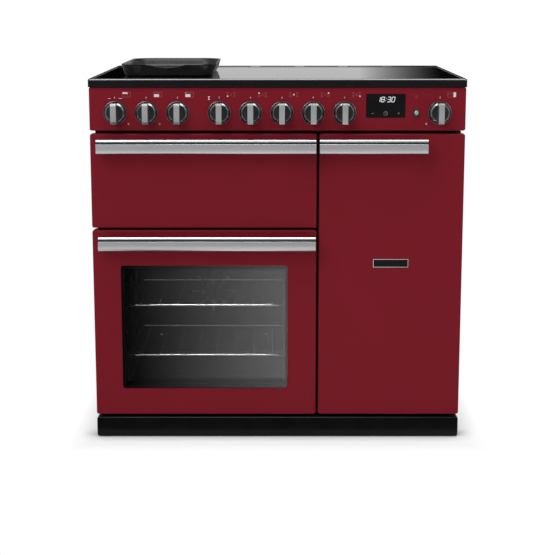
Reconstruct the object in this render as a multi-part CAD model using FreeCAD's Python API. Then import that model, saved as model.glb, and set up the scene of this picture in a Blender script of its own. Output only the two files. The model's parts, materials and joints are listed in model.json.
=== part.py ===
import FreeCAD, Part
import math
import os

# Induction range cooker, 900 mm class, in millimetres.
# X runs to the right, Y to the back, Z up; the origin is the centre of the base on the floor.

V = FreeCAD.Vector
X_AXIS = V(1, 0, 0)
Y_AXIS = V(0, 1, 0)
Z_AXIS = V(0, 0, 1)

# Whole cooker
cooker_width = 900.0
fascia_inset = 2.0       # hob edge to panel and door edge
cabinet_step = 7.0       # door edge to cabinet side
front_to_back = 600.0
handle_reach = 45.0
overrun = 2.0            # every cut runs past its face by this much
part_gap = 0.3           # between pieces that move past each other
bore_clearance = 0.05    # radial, shaft in hole
sheet = 1.5
rod_sides = 8            # sides of a wire or a small rod
bore_sides = 12          # sides of a small bore and its pin
disc_sides = 24
ring_sides = 16
knob_sides = 40
match_tolerance = 0.000001
full_turn = 360
flat_share = math.cos(math.pi / rod_sides)

# Heights of the front, from the floor up
plinth_lift = 2.0
plinth_height = 48.5
plinth_gap = 8.8
main_door_height = 462.4
door_gap = 6.4
grill_door_height = 227.3
panel_gap = 7.8
panel_height = 103.4
trim_height = 20.0

# Doors
left_door_share = 0.604911  # of the fascia's width
door_side_gap = 6.0
door_thickness = 40.0
outer_pan_depth = 22.0
pan_lap = 2.0
door_corner = 5.0
door_roll = 1.4
seal_gap = 3.0
pivot_setback = 10.0
pivot_rise = 14.0
pin_radius = 3.0

# Window in the main door
window_left = 66.7
window_right = 69.5
window_bottom = 65.8
window_top = 86.9
window_corner = 6.0
glass_thickness = 4.0
glass_lap = 14.0

# Handles
handle_height = 33.4
handle_thickness = 16.0
handle_drop = 9.2        # door top to handle top
handle_left_inset = 19.0
handle_right_inset = 2.6
tall_handle_share = 0.73563  # of the tall door's width
handle_bevel_rise = 8.5
handle_bevel_run = 11.0
handle_foot = 18.0
handle_foot_inset = 4.0

# Hinge arms
hinge_inset = 25.0
arm_thickness = 3.0
arm_half_height = 5.0
arm_side_gap = 1.0
arm_turn_gap = 1.5
cheek_thickness = 6.0
cheek_lift = 3.0
bracket_plate = 3.0
bracket_half_width = 10.0
tall_pin_reach = 10.0

# Oven cavities
frame_sheet = 2.0
service_depth = 155.0    # behind the cavities
cavity_corner = 10.0
flange_width = 10.0
main_jamb = 58.0
main_sill = 34.7
main_head = 66.7
grill_sill = 35.0
grill_head = 30.4
tall_jamb = 36.0
tall_sill = 35.7
tall_head = 40.4
seal_width = 6.0
seal_setback = 1.5
insulation_thickness = 10.0
insulation_setback = 6.0

# Shelf guides and racks
ledge_first = 31.7
ledge_pitch = 64.0
ledge_reach = 22.0
ledge_height = 5.0
ledge_taper = 2.0
lower_level_share = 0.25
upper_level_share = 0.7
guide_front = 10.0
guide_rear_gap = 32.0
rack_inset = 20.5        # cavity wall to centre of the side wire
rack_front = 15.0
rack_rear_gap = 57.0
rail_radius = 3.0
bar_radius = 2.0
bar_pitch = 46.6

# Grill
grill_ledge_first = 62.0
grill_ledge_pitch = 35.0
grill_pan_depth = 28.0
grill_pan_rear_gap = 85.0
grill_pan_inset = 26.0
grill_rim = 13.0
element_radius = 4.0
element_drop = 20.0
element_margin = 45.0
element_pitch = 50.0
trivet_inset = 22.0

# Fans behind the ovens
baffle_depth = 28.0
baffle_margin = 62.0
tall_baffle_share = 0.71014  # of the tall cavity's half width
tall_baffle_height = 320.0
slot_length_share = 0.64516  # of the fan wheel's radius
slot_width = 8.0
slot_count = 8
ring_share = 0.5942       # of the tall cavity's half width
fan_share = 0.7561       # of the ring heater's radius
motor_share = 0.58065    # of the wheel's radius
blade_count = 10
fan_plate = 1.5
blade_height = 14.0
blade_thickness = 1.2
fan_setback = 8.0
shaft_radius = 4.0
shaft_hole_gap = 1.0
hub_radius = 12.0
motor_length = 48.0
motor_bore = 20.0
ring_section = 7.0
lamp_radius = 18.0
lamp_height = 12.0
lamp_inset = 32.0

# Control panel
knob_line = 42.8         # panel bottom to knob axis
oven_knob_count = 3
hob_knob_count = 5
oven_knob_share = 0.431362  # places and widths as shares of the fascia's width
hob_knob_share = 0.154464
knob_pitch_share = 0.0831473
tall_knob_share = 0.430804
button_share = 0.368304
display_share = 0.235045
display_width_share = 0.104241
knob_gap = 0.8
knob_radius = 24.6
knob_depth = 11.0
grip_width = 13.5
grip_half_length = 23.2
grip_top_half_length = 20.5
grip_reach = 30.0
grip_round = 4.0
spindle_radius = 3.0
spindle_length = 12.0
panel_hole_gap = 1.0
switch_size = 34.0
switch_depth = 26.0
button_radius = 6.3
button_height = 4.5
button_gap = 2.5
stem_radius = 2.5
button_switch_size = 16.0
button_ring_radius = 9.0
button_ring_height = 3.0
display_lift_share = 0.30368  # of the panel's height
display_height_share = 0.54449
display_proud = 0.8
display_body_depth = 24.0
display_body_inset = 4.0

# Hob
trim_proud = 3.0
trim_width = 10.0
trim_corner = 7.0
trim_round = 4.0
glass_recess = 0.5
vent_depth = 62.0
vent_bar = 6.0
vent_sheet = 3.0
vent_slot_length_share = 0.109091  # of the glass's width
vent_slot_pitch_share = 0.138636
vent_slot_width = 30.0
vent_slot_count = 7
tray_depth = 54.0
tray_front_gap = 4.0
tray_side_gap = 12.0
coil_thickness = 10.0
coil_gap = 3.0
coil_share = 0.4182      # coil radius as a share of the hob's reach
centre_coil_share = 0.5364
coil_offset_x_share = 0.3239  # of the glass's width
coil_offset_y_share = 0.2368  # of the tray's depth
coil_post = 24.0
board_width_share = 0.10909
board_length_share = 0.63425
board_offset_share = 0.16477
board_thickness = 3.0
fin_height = 22.0
fin_thickness = 3.0
fin_count = 7

# Griddle on the left zone
griddle_inset = 55.0     # glass edge to rim
griddle_width_share = 0.267  # of the glass's width
griddle_front = 80.0     # door face to rim
griddle_length_share = 0.6932  # of the glass's depth
griddle_height = 29.0
griddle_flare = 10.0
griddle_wall = 4.0
griddle_floor = 6.0
griddle_corner = 30.0
griddle_corner_steps = 5
griddle_base_corner = 22.0
dip_half_width = 48.0
dip_depth = 9.0
dip_lift = 0.5           # how far the dip's ends start above the rim

# Cabinet
side_flange = 10.0
base_height = 66.0
base_flange = 30.0
frame_bottom = 20.0
foot_inset = 34.0
foot_setback = 40.0
foot_radius = 20.0
foot_thickness = 10.0
foot_stem = 5.0
louvre_length_share = 0.1247  # of the cabinet's width
louvre_height = 6.0
louvre_pitch = 16.0
louvre_count = 10
louvre_top_drop = 70.0
louvre_offset_share = 0.2154
terminal_inset = 141.0
terminal_z = 130.0
terminal_width = 120.0
terminal_height = 90.0
terminal_depth = 44.0
terminal_lip = 10.0
inlet_radius = 12.5
inlet_length = 30.0
blower_radius = 24.0
blower_length = 150.0
blower_wall = 1.5
blower_gap = 5.0
blower_y = 120.0
blower_shaft = 3.0
rotor_blade_count = 8
blade_root_share = 0.6
blade_tip_share = 0.95
catch_width = 24.0
catch_height = 8.0

# Places worked out from the sizes above
door_face = handle_reach - (front_to_back + handle_reach) / 2
back_face = door_face + front_to_back
door_back = door_face + door_thickness
frame_face = door_back + seal_gap
frame_back = frame_face + frame_sheet
cavity_back = back_face - service_depth
pivot_y = door_face + pivot_setback
rear_sheet_face = back_face - sheet

fascia_width = cooker_width - 2 * fascia_inset
fascia_x0 = -fascia_width / 2
fascia_x1 = fascia_width / 2
cabinet_width = fascia_width - 2 * cabinet_step
cabinet_x0 = -cabinet_width / 2
cabinet_x1 = cabinet_width / 2
inner_x0 = cabinet_x0 + sheet
inner_x1 = cabinet_x1 - sheet
left_x0 = fascia_x0
left_x1 = fascia_x0 + fascia_width * left_door_share
tall_x0 = left_x1 + door_side_gap
tall_x1 = fascia_x1

plinth_top = plinth_lift + plinth_height
main_z0 = plinth_top + plinth_gap
main_z1 = main_z0 + main_door_height
grill_z0 = main_z1 + door_gap
grill_z1 = grill_z0 + grill_door_height
tall_z0 = main_z0
tall_z1 = grill_z1
panel_z0 = grill_z1 + panel_gap
panel_z1 = panel_z0 + panel_height
hob_top = panel_z1 + trim_height
glass_top = hob_top - glass_recess
glass_bottom = glass_top - glass_thickness
knob_z = panel_z0 + knob_line

trim_front = door_face - trim_proud
glass_y0 = trim_front + trim_width
glass_y1 = back_face - trim_width - vent_depth - vent_bar
vent_y0 = glass_y1 + vent_bar
vent_y1 = back_face - trim_width
glass_x0 = trim_width - cooker_width / 2
glass_x1 = cooker_width / 2 - trim_width
glass_width = glass_x1 - glass_x0
tray_y0 = frame_back + tray_front_gap
tray_bottom = glass_bottom - tray_depth
tray_length = glass_y1 - tray_y0

button_x = fascia_width * button_share
display_x = fascia_width * display_share
display_width = fascia_width * display_width_share
display_z0 = panel_z0 + panel_height * display_lift_share
display_z1 = display_z0 + panel_height * display_height_share
terminal_x = cabinet_x1 - terminal_inset

left_centre = (left_x0 + left_x1) / 2
tall_pivot_x = tall_x1 - pivot_rise


class Cavity:
    """Inner size of one oven cavity and the places that follow from it."""

    def __init__(self, x0, x1, z0, z1):
        self.x0 = x0
        self.x1 = x1
        self.z0 = z0
        self.z1 = z1
        self.centre_x = (x0 + x1) / 2
        self.centre_z = (z0 + z1) / 2
        self.half_width = (x1 - x0) / 2

    def block(self, y0, y1, grow, corner):
        """Block over the mouth, larger than the cavity by grow, with round corners unless corner is 0."""
        if corner == 0:
            return box(self.x0 - grow, self.x1 + grow, y0, y1, self.z0 - grow, self.z1 + grow)
        return rounded_block(self.x0 - grow, self.x1 + grow, y0, y1, self.z0 - grow, self.z1 + grow, corner)


main_cavity = Cavity(left_x0 + main_jamb, left_x1 - main_jamb, main_z0 + main_sill, main_z1 - main_head)
grill_cavity = Cavity(left_x0 + main_jamb, left_x1 - main_jamb, grill_z0 + grill_sill, grill_z1 - grill_head)
tall_cavity = Cavity(tall_x0 + tall_jamb, tall_x1 - tall_jamb, tall_z0 + tall_sill, tall_z1 - tall_head)

ring_radius = tall_cavity.half_width * ring_share
fan_radius = ring_radius * fan_share
motor_radius = fan_radius * motor_share


def box(x0, x1, y0, y1, z0, z1):
    return Part.makeBox(x1 - x0, y1 - y0, z1 - z0, V(x0, y0, z0))


def edges_along(shape, direction):
    """Straight edges that run along one axis."""
    found = []
    for edge in shape.Edges:
        run = edge.Vertexes[-1].Point - edge.Vertexes[0].Point
        if run.Length > 0 and abs(abs(run.normalize().dot(direction)) - 1) < match_tolerance:
            found.append(edge)
    return found


def rounded_block(x0, x1, y0, y1, z0, z1, corner, axis=Y_AXIS):
    """Block whose four edges along one axis are rounded."""
    body = box(x0, x1, y0, y1, z0, z1)
    return body.makeFillet(corner, edges_along(body, axis))


def fuse_all(shapes):
    whole = shapes[0].multiFuse(shapes[1:])
    return whole.removeSplitter()


def group(shapes):
    """Several separate solids of one kind, kept together."""
    return Part.makeCompound(shapes)


def prism(points, run):
    """Straight-sided outline, closed and pushed along a vector."""
    wire = Part.makePolygon(points + [points[0]])
    return Part.Face(wire).extrude(run)


def spokes(radius, sides, centre, axis):
    """Corners of a regular outline round a centre, square to an axis."""
    first = Z_AXIS if axis.z == 0 else X_AXIS
    second = axis.cross(first)
    points = []
    for step in range(sides):
        angle = 2 * math.pi * (step + 0.5) / sides
        points.append(centre + first * (radius * math.cos(angle)) + second * (radius * math.sin(angle)))
    return points


def polygon_plate(radius, sides, x, y, z, axis, thickness):
    """Regular flat-sided disc or rod that stands along an axis."""
    return prism(spokes(radius, sides, V(x, y, z), axis), axis * thickness)


def pin(radius, length, x, y, z, axis):
    """Small pin or shaft along an axis."""
    return polygon_plate(radius, bore_sides, x, y, z, axis, length)


def bore(radius, length, x, y, z, axis):
    """Cutter whose flats clear a radius, for a pin that turns in it."""
    return polygon_plate(radius / math.cos(math.pi / bore_sides), bore_sides, x, y, z, axis, length)


def pan(x0, x1, z0, z1, y0, y1, open_front):
    """Folded sheet pan, open towards the front or the back."""
    outer = box(x0, x1, y0, y1, z0, z1)
    inner_y0 = y0 - overrun if open_front else y0 + sheet
    inner_y1 = y1 - sheet if open_front else y1 + overrun
    return outer.cut(box(x0 + sheet, x1 - sheet, inner_y0, inner_y1, z0 + sheet, z1 - sheet))


def front_loop(shape, y):
    """Edges that lie in the plane of a front or back face."""
    found = []
    for edge in shape.Edges:
        bounds = edge.BoundBox
        if abs(bounds.YMin - y) < match_tolerance and abs(bounds.YMax - y) < match_tolerance:
            found.append(edge)
    return found


# Doors

def outer_pan(x0, x1, z0, z1):
    """Enamelled outer skin with folded sides and a rolled front edge."""
    y1 = door_face + outer_pan_depth
    outer = rounded_block(x0, x1, door_face, y1, z0, z1, door_corner)
    outer = outer.makeChamfer(door_roll, front_loop(outer, door_face))
    inner = rounded_block(x0 + sheet, x1 - sheet, door_face + sheet, y1 + overrun,
                          z0 + sheet, z1 - sheet, door_corner - sheet)
    return outer.cut(inner)


def inner_pan(x0, x1, z0, z1):
    """Inner skin that slips inside the folds of the outer one."""
    y0 = door_face + outer_pan_depth - pan_lap
    corner = door_corner - sheet
    outer = rounded_block(x0 + sheet, x1 - sheet, y0, door_back, z0 + sheet, z1 - sheet, corner)
    return outer.cut(box(x0 + 2 * sheet, x1 - 2 * sheet, y0 - overrun, door_back - sheet,
                         z0 + 2 * sheet, z1 - 2 * sheet))


def arm_places(x0, x1):
    return [x0 + hinge_inset, x1 - hinge_inset]


def notch(x, z0):
    """Space that one hinge arm sweeps inside a drop-down door."""
    half = arm_thickness / 2 + arm_side_gap
    reach = arm_half_height + arm_turn_gap
    return box(x - half, x + half, pivot_y - reach, door_back + overrun,
               z0 - overrun, z0 + pivot_rise + reach)


def cheek(x, z0):
    """Ear with a bore, beside the hinge arm."""
    start = x + arm_thickness / 2 + arm_side_gap
    reach = arm_half_height + arm_turn_gap
    return box(start, start + cheek_thickness, pivot_y - reach, door_back - sheet / 2,
               z0 + cheek_lift, z0 + pivot_rise + reach)


def pin_hole(x, z0):
    span = arm_side_gap + cheek_thickness + overrun
    return bore(pin_radius + bore_clearance, span, x + arm_thickness / 2, pivot_y,
                z0 + pivot_rise, X_AXIS)


def drop_door_skins(x0, x1, z0, z1):
    """Outer and inner skin of a door that is hinged along its bottom edge."""
    outer = outer_pan(x0, x1, z0, z1)
    ears = [cheek(x, z0) for x in arm_places(x0, x1)]
    inner = fuse_all([inner_pan(x0, x1, z0, z1)] + ears)
    for x in arm_places(x0, x1):
        outer = outer.cut(notch(x, z0))
        inner = inner.cut(notch(x, z0)).cut(pin_hole(x, z0))
    return outer, inner


def tall_ears():
    """Pivot blocks at the top and bottom of the side-hinged door."""
    reach = arm_half_height + arm_turn_gap
    ears = []
    for z in (tall_z0 + sheet, tall_z1 - sheet - tall_pin_reach):
        ears.append(box(tall_pivot_x - reach, tall_pivot_x + reach, pivot_y - reach,
                        door_back - sheet / 2, z, z + tall_pin_reach))
    return ears


def tall_pin_holes():
    height = 2 * overrun + tall_pin_reach + sheet
    holes = []
    for z in (tall_z0 - overrun, tall_z1 + overrun - height):
        holes.append(bore(pin_radius + bore_clearance, height, tall_pivot_x, pivot_y, z, Z_AXIS))
    return holes


def tall_door_skins():
    outer = outer_pan(tall_x0, tall_x1, tall_z0, tall_z1)
    inner = fuse_all([inner_pan(tall_x0, tall_x1, tall_z0, tall_z1)] + tall_ears())
    for hole in tall_pin_holes():
        outer = outer.cut(hole)
        inner = inner.cut(hole)
    return outer, inner


window_x0 = left_x0 + window_left
window_x1 = left_x1 - window_right
window_z0 = main_z0 + window_bottom
window_z1 = main_z1 - window_top


def window_cut():
    return rounded_block(window_x0, window_x1, door_face - overrun, door_back + overrun,
                         window_z0, window_z1, window_corner)


def window_panes():
    """Outer pane bonded behind the skin and inner pane clipped in the inner skin."""
    outer_y = door_face + sheet
    inner_y = door_back - sheet - glass_thickness
    panes = []
    for y in (outer_y, inner_y):
        panes.append(box(window_x0 - glass_lap, window_x1 + glass_lap, y, y + glass_thickness,
                         window_z0 - glass_lap, window_z1 + glass_lap))
    return group(panes)


def handle(x0, x1, door_top):
    """Full-length bar with a curved bevel along its top and a foot at each end."""
    top = door_top - handle_drop
    bottom = top - handle_height
    front = door_face - handle_reach
    back = front + handle_thickness
    shoulder = top - handle_bevel_rise
    bevel_y = front + handle_bevel_run
    middle_share = 1 - math.sqrt(0.5)
    middle = V(x0, front + handle_bevel_run * middle_share, top - handle_bevel_rise * middle_share)
    corner = V(x0, front, bottom)
    low_back = V(x0, back, bottom)
    high_back = V(x0, back, top)
    edges = [
        Part.LineSegment(corner, V(x0, front, shoulder)).toShape(),
        Part.Arc(V(x0, front, shoulder), middle, V(x0, bevel_y, top)).toShape(),
        Part.LineSegment(V(x0, bevel_y, top), high_back).toShape(),
        Part.LineSegment(high_back, low_back).toShape(),
        Part.LineSegment(low_back, corner).toShape(),
    ]
    bar = Part.Face(Part.Wire(edges)).extrude(X_AXIS * (x1 - x0))
    feet = []
    for x in (x0, x1 - handle_foot):
        feet.append(box(x, x + handle_foot, back - sheet, door_face,
                        bottom + handle_foot_inset, top - handle_foot_inset))
    return fuse_all([bar] + feet)


def hinge_arm(x, z0):
    """Flat arm on the cabinet with the pin that a drop-down door turns on."""
    z = z0 + pivot_rise
    half = arm_thickness / 2
    nose = arm_half_height / 2
    side = [(frame_face, -arm_half_height), (frame_face, arm_half_height),
            (pivot_y - nose, arm_half_height), (pivot_y - arm_half_height, nose),
            (pivot_y - arm_half_height, -nose), (pivot_y - nose, -arm_half_height)]
    outline = [V(x - half, y, z + rise) for y, rise in side]
    tongue = prism(outline, X_AXIS * arm_thickness)
    stub = pin(pin_radius, arm_side_gap + cheek_thickness, x + half, pivot_y, z, X_AXIS)
    return fuse_all([tongue, stub])


def tall_bracket(plate_z, pin_z0, pin_z1):
    """Plate in the gap above or below the tall door, with its pivot pin."""
    plate = box(tall_pivot_x - bracket_half_width, tall_pivot_x + arm_half_height, pivot_y - arm_half_height,
                frame_face, plate_z, plate_z + bracket_plate)
    stub = pin(pin_radius, pin_z1 - pin_z0, tall_pivot_x, pivot_y, pin_z0, Z_AXIS)
    return fuse_all([plate, stub])


def door_hinges():
    arms = []
    for z0 in (main_z0, grill_z0):
        for x in arm_places(left_x0, left_x1):
            arms.append(hinge_arm(x, z0))
    low_plate = tall_z0 - (plinth_gap + bracket_plate) / 2
    high_plate = tall_z1 + (panel_gap - bracket_plate) / 2
    arms.append(tall_bracket(low_plate, low_plate, tall_z0 + tall_pin_reach))
    arms.append(tall_bracket(high_plate, tall_z1 - tall_pin_reach, high_plate + bracket_plate))
    return group(arms)


# Cabinet

def front_frame():
    plate = box(cabinet_x0, cabinet_x1, frame_face, frame_back, frame_bottom, panel_z1)
    for cavity in (main_cavity, grill_cavity, tall_cavity):
        plate = plate.cut(cavity.block(frame_face - overrun, frame_back + overrun, 0, cavity_corner))
    return plate


def side_panel(side):
    """Cabinet side with its front and rear edges folded inwards."""
    outer = side * cabinet_width / 2
    skin = outer - side * sheet
    fold = skin - side * side_flange
    y0 = frame_back
    y1 = rear_sheet_face
    outline = [V(outer, y0, 0), V(outer, y1, 0), V(fold, y1, 0), V(fold, y1 - sheet, 0),
               V(skin, y1 - sheet, 0), V(skin, y0 + sheet, 0), V(fold, y0 + sheet, 0), V(fold, y0, 0)]
    shape = prism(outline, Z_AXIS * (panel_z1 - plinth_top))
    shape.translate(Z_AXIS * plinth_top)
    return shape


def base_tray():
    """Folded tray that carries the cabinet and the feet."""
    y0 = frame_back + sheet
    y1 = rear_sheet_face - sheet
    outer = box(inner_x0, inner_x1, y0, y1, base_height - base_flange, base_height)
    inner = box(inner_x0 + sheet, inner_x1 - sheet, y0 + sheet, y1 - sheet,
                base_height - base_flange - overrun, base_height - sheet)
    return outer.cut(inner)


def levelling_feet():
    feet = []
    for x in (inner_x0 + foot_inset, inner_x1 - foot_inset):
        for y in (frame_back + foot_setback, rear_sheet_face - foot_setback):
            pad = polygon_plate(foot_radius, disc_sides, x, y, 0, Z_AXIS, foot_thickness)
            stem = polygon_plate(foot_stem, rod_sides, x, y, foot_thickness, Z_AXIS,
                                 base_height - sheet - foot_thickness)
            feet.extend([pad, stem])
    return group(feet)


def plinth():
    y0 = door_face + door_roll
    outer = rounded_block(fascia_x0, fascia_x1, y0, frame_face, plinth_lift, plinth_top, door_corner)
    outer = outer.makeChamfer(door_roll, front_loop(outer, y0))
    inner = box(fascia_x0 + sheet, fascia_x1 - sheet, y0 + sheet + door_roll, frame_face + overrun,
                plinth_lift + sheet, plinth_top - sheet)
    return outer.cut(inner)


def rear_panel():
    """Back sheet with two banks of louvre slots and the terminal cut-out."""
    plate = box(cabinet_x0, cabinet_x1, rear_sheet_face, back_face, plinth_top, panel_z1)
    half = cabinet_width * louvre_length_share / 2
    slots = []
    for side in (-1, 1):
        for step in range(louvre_count):
            x = side * cabinet_width * louvre_offset_share
            z = panel_z1 - louvre_top_drop - step * louvre_pitch
            slots.append(box(x - half, x + half, rear_sheet_face - overrun, back_face + overrun,
                             z - louvre_height, z))
    plate = plate.cut(group(slots))
    return plate.cut(terminal_cover(overrun))


def terminal_cover(extra):
    return box(terminal_x + terminal_lip, terminal_x + terminal_width - terminal_lip,
               rear_sheet_face - extra, back_face + extra,
               terminal_z + terminal_lip, terminal_z + terminal_height - terminal_lip)


def terminal_box():
    """Mains terminal housing whose lid fills the cut-out in the rear sheet."""
    housing = box(terminal_x, terminal_x + terminal_width, rear_sheet_face - terminal_depth,
                  rear_sheet_face, terminal_z, terminal_z + terminal_height)
    body = fuse_all([housing, terminal_cover(0)])
    inlet = Part.makeCylinder(inlet_radius, inlet_length + overrun,
                              V(terminal_x + terminal_width / 2, back_face - inlet_length,
                                terminal_z + terminal_height / 2), Y_AXIS)
    return body.cut(inlet)


# Cavities

def liner(cavity, fan_z):
    """Enamelled cavity with a front flange; the ovens have a hole for the fan shaft."""
    shell = cavity.block(frame_back, cavity_back + sheet, sheet, cavity_corner + sheet)
    flange = cavity.block(frame_back, frame_back + sheet, sheet + flange_width, 0)
    space = cavity.block(frame_back - overrun, cavity_back, 0, cavity_corner)
    body = shell.fuse(flange).cut(space)
    if fan_z is None:
        return body
    hole = bore(shaft_radius + shaft_hole_gap, sheet + 2 * overrun, cavity.centre_x,
                cavity_back - overrun, fan_z, Y_AXIS)
    return body.cut(hole)


def wrap(cavity):
    """Insulation laid round the cavity walls."""
    y0 = frame_back + insulation_setback
    inner = sheet
    outer = sheet + insulation_thickness
    blanket = cavity.block(y0, cavity_back, outer, 0)
    return blanket.cut(cavity.block(y0 - overrun, cavity_back + overrun, inner, 0))


def seal(cavity):
    y0 = door_back + part_gap
    inner = seal_setback
    outer = seal_setback + seal_width
    ring = cavity.block(y0, frame_face, outer, cavity_corner)
    return ring.cut(cavity.block(y0 - overrun, frame_face + overrun, inner, 0))


def ledge_tops(cavity, first, pitch):
    """Heights of the shelf ledges, as many as the cavity holds."""
    count = int((cavity.z1 - cavity.z0 - first) / pitch)
    return [cavity.z0 + first + pitch * step for step in range(count)]


def guide(cavity, side, tops):
    """Pressed side guide: one sheet with a tapered ledge at each level."""
    wall = cavity.x0 if side < 0 else cavity.x1
    face = wall - side * sheet
    tip = face - side * ledge_reach
    y0 = frame_back + guide_front
    low = cavity.z0 + cavity_corner
    high = cavity.z1 - cavity_corner
    outline = [V(wall, y0, low), V(face, y0, low)]
    for top in tops:
        outline.append(V(face, y0, top - ledge_height))
        outline.append(V(tip, y0, top - ledge_taper))
        outline.append(V(tip, y0, top))
        outline.append(V(face, y0, top))
    outline.append(V(face, y0, high))
    outline.append(V(wall, y0, high))
    return prism(outline, Y_AXIS * (cavity_back - baffle_depth - guide_rear_gap - y0))


def level(tops, share):
    """Ledge at a share of the way up."""
    return tops[int(share * len(tops))]


main_tops = ledge_tops(main_cavity, ledge_first, ledge_pitch)
tall_tops = ledge_tops(tall_cavity, ledge_first, ledge_pitch)
grill_tops = ledge_tops(grill_cavity, grill_ledge_first, grill_ledge_pitch)


def shelf_guides():
    guides = []
    for cavity, tops in ((main_cavity, main_tops), (grill_cavity, grill_tops), (tall_cavity, tall_tops)):
        for side in (-1, 1):
            guides.append(guide(cavity, side, tops))
    return group(guides)


def mitred_frame(x0, x1, y0, y1, z, radius):
    """Wire rectangle through four centre points, mitred at its corners."""
    middle = V((x0 + x1) / 2, y0, z)
    corners = [V(x1, y0, z), V(x1, y1, z), V(x0, y1, z), V(x0, y0, z)]
    return pipe_along([middle] + corners + [middle], radius, X_AXIS)


def rack(cavity, ledge_top):
    """Wire rack: a mitred frame with front-to-back bars welded on top."""
    z = ledge_top + part_gap + rail_radius
    x0 = cavity.x0 + rack_inset
    x1 = cavity.x1 - rack_inset
    y0 = frame_back + rack_front
    y1 = cavity_back - baffle_depth - rack_rear_gap
    pieces = [mitred_frame(x0, x1, y0, y1, z, rail_radius)]
    count = int((x1 - x0) / bar_pitch)
    first = (x0 + x1 - (count - 1) * bar_pitch) / 2
    for step in range(count):
        pieces.append(polygon_plate(bar_radius, rod_sides, first + step * bar_pitch, y0,
                                    z + flat_share * (rail_radius + bar_radius), Y_AXIS, y1 - y0))
    return group(pieces)


def grill_pan():
    """Enamelled tray whose side rims hang on the guides."""
    x0 = grill_cavity.x0 + grill_pan_inset
    x1 = grill_cavity.x1 - grill_pan_inset
    y0 = frame_back + rack_front
    y1 = cavity_back - grill_pan_rear_gap
    rim_z = grill_tops[0] + part_gap
    floor_z = rim_z - grill_pan_depth
    top_z = rim_z + sheet
    outer = rounded_block(x0, x1, y0, y1, floor_z, top_z, cavity_corner, Z_AXIS)
    rim = rounded_block(x0 - grill_rim, x1 + grill_rim, y0 - sheet, y1 + sheet, rim_z, top_z,
                        cavity_corner, Z_AXIS)
    inner = rounded_block(x0 + sheet, x1 - sheet, y0 + sheet, y1 - sheet, floor_z + sheet,
                          top_z + overrun, cavity_corner - sheet, Z_AXIS)
    return outer.fuse(rim).cut(inner).removeSplitter()


def grill_trivet():
    """Two cross rails on the pan floor with bars laid over them."""
    x0 = grill_cavity.x0 + grill_pan_inset + trivet_inset
    x1 = grill_cavity.x1 - grill_pan_inset - trivet_inset
    y0 = frame_back + rack_front + trivet_inset
    y1 = cavity_back - grill_pan_rear_gap - trivet_inset
    floor_z = grill_tops[0] + part_gap - grill_pan_depth + sheet
    rail_z = floor_z + flat_share * rail_radius
    pieces = []
    for y in (y0 + trivet_inset, y1 - trivet_inset):
        pieces.append(polygon_plate(rail_radius, rod_sides, x0, y, rail_z, X_AXIS, x1 - x0))
    count = int((x1 - x0) / (bar_pitch + trivet_inset)) + 1
    pitch = (x1 - x0 - 2 * rail_radius) / (count - 1)
    for step in range(count):
        pieces.append(polygon_plate(bar_radius, rod_sides, x0 + rail_radius + step * pitch, y0,
                                    rail_z + flat_share * (rail_radius + bar_radius), Y_AXIS, y1 - y0))
    return group(pieces)


def pipe_along(points, radius, axis):
    """Rod bent sharply through its points."""
    spine = Part.makePolygon(points)
    outline = spokes(radius, rod_sides, points[0], axis)
    start = Part.makePolygon(outline + [outline[0]])
    sweep = Part.BRepOffsetAPI.MakePipeShell(spine)
    sweep.setTransitionMode(1)
    sweep.add(start)
    sweep.build()
    sweep.makeSolid()
    return sweep.shape()


def grill_element():
    """Serpentine rod under the cavity roof, fixed in the rear wall."""
    z = grill_cavity.z1 - element_drop
    x0 = grill_cavity.x0 + element_margin
    x1 = grill_cavity.x1 - element_margin
    runs = 2 * int((x1 - x0) / element_pitch / 2)
    first = (x0 + x1 - (runs - 1) * element_pitch) / 2
    near = frame_back + element_margin
    far = cavity_back - element_margin
    points = [V(first, cavity_back, z)]
    for step in range(runs):
        x = first + step * element_pitch
        ends = [near, far] if step % 2 == 0 else [far, near]
        points.append(V(x, ends[0], z))
        if step < runs - 1:
            points.append(V(x + element_pitch, ends[0], z))
    points.append(V(first + (runs - 1) * element_pitch, cavity_back, z))
    return pipe_along(points, element_radius, Y_AXIS)


def baffle(cavity, half_width, z0, z1):
    """Cover in front of the fan with a ring of intake slots."""
    x = cavity.centre_x
    z = (z0 + z1) / 2
    cover = pan(x - half_width, x + half_width, z0, z1, cavity_back - baffle_depth, cavity_back, False)
    slots = []
    reach = fan_radius * (1 - slot_length_share)
    for step in range(slot_count):
        slot = box(x - slot_width / 2, x + slot_width / 2, cavity_back - baffle_depth - overrun,
                   cavity_back - baffle_depth + sheet + overrun, z + reach, z + fan_radius)
        slot.rotate(V(x, 0, z), Y_AXIS, full_turn * step / slot_count)
        slots.append(slot)
    return cover.cut(group(slots))


tall_fan_z = tall_cavity.centre_z


def main_baffle():
    half = main_cavity.half_width - baffle_margin
    return baffle(main_cavity, half, main_cavity.z0 + lamp_inset, main_cavity.z1 - lamp_inset)


def tall_baffle():
    half = tall_cavity.half_width * tall_baffle_share
    return baffle(tall_cavity, half, tall_fan_z - tall_baffle_height / 2, tall_fan_z + tall_baffle_height / 2)


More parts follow.
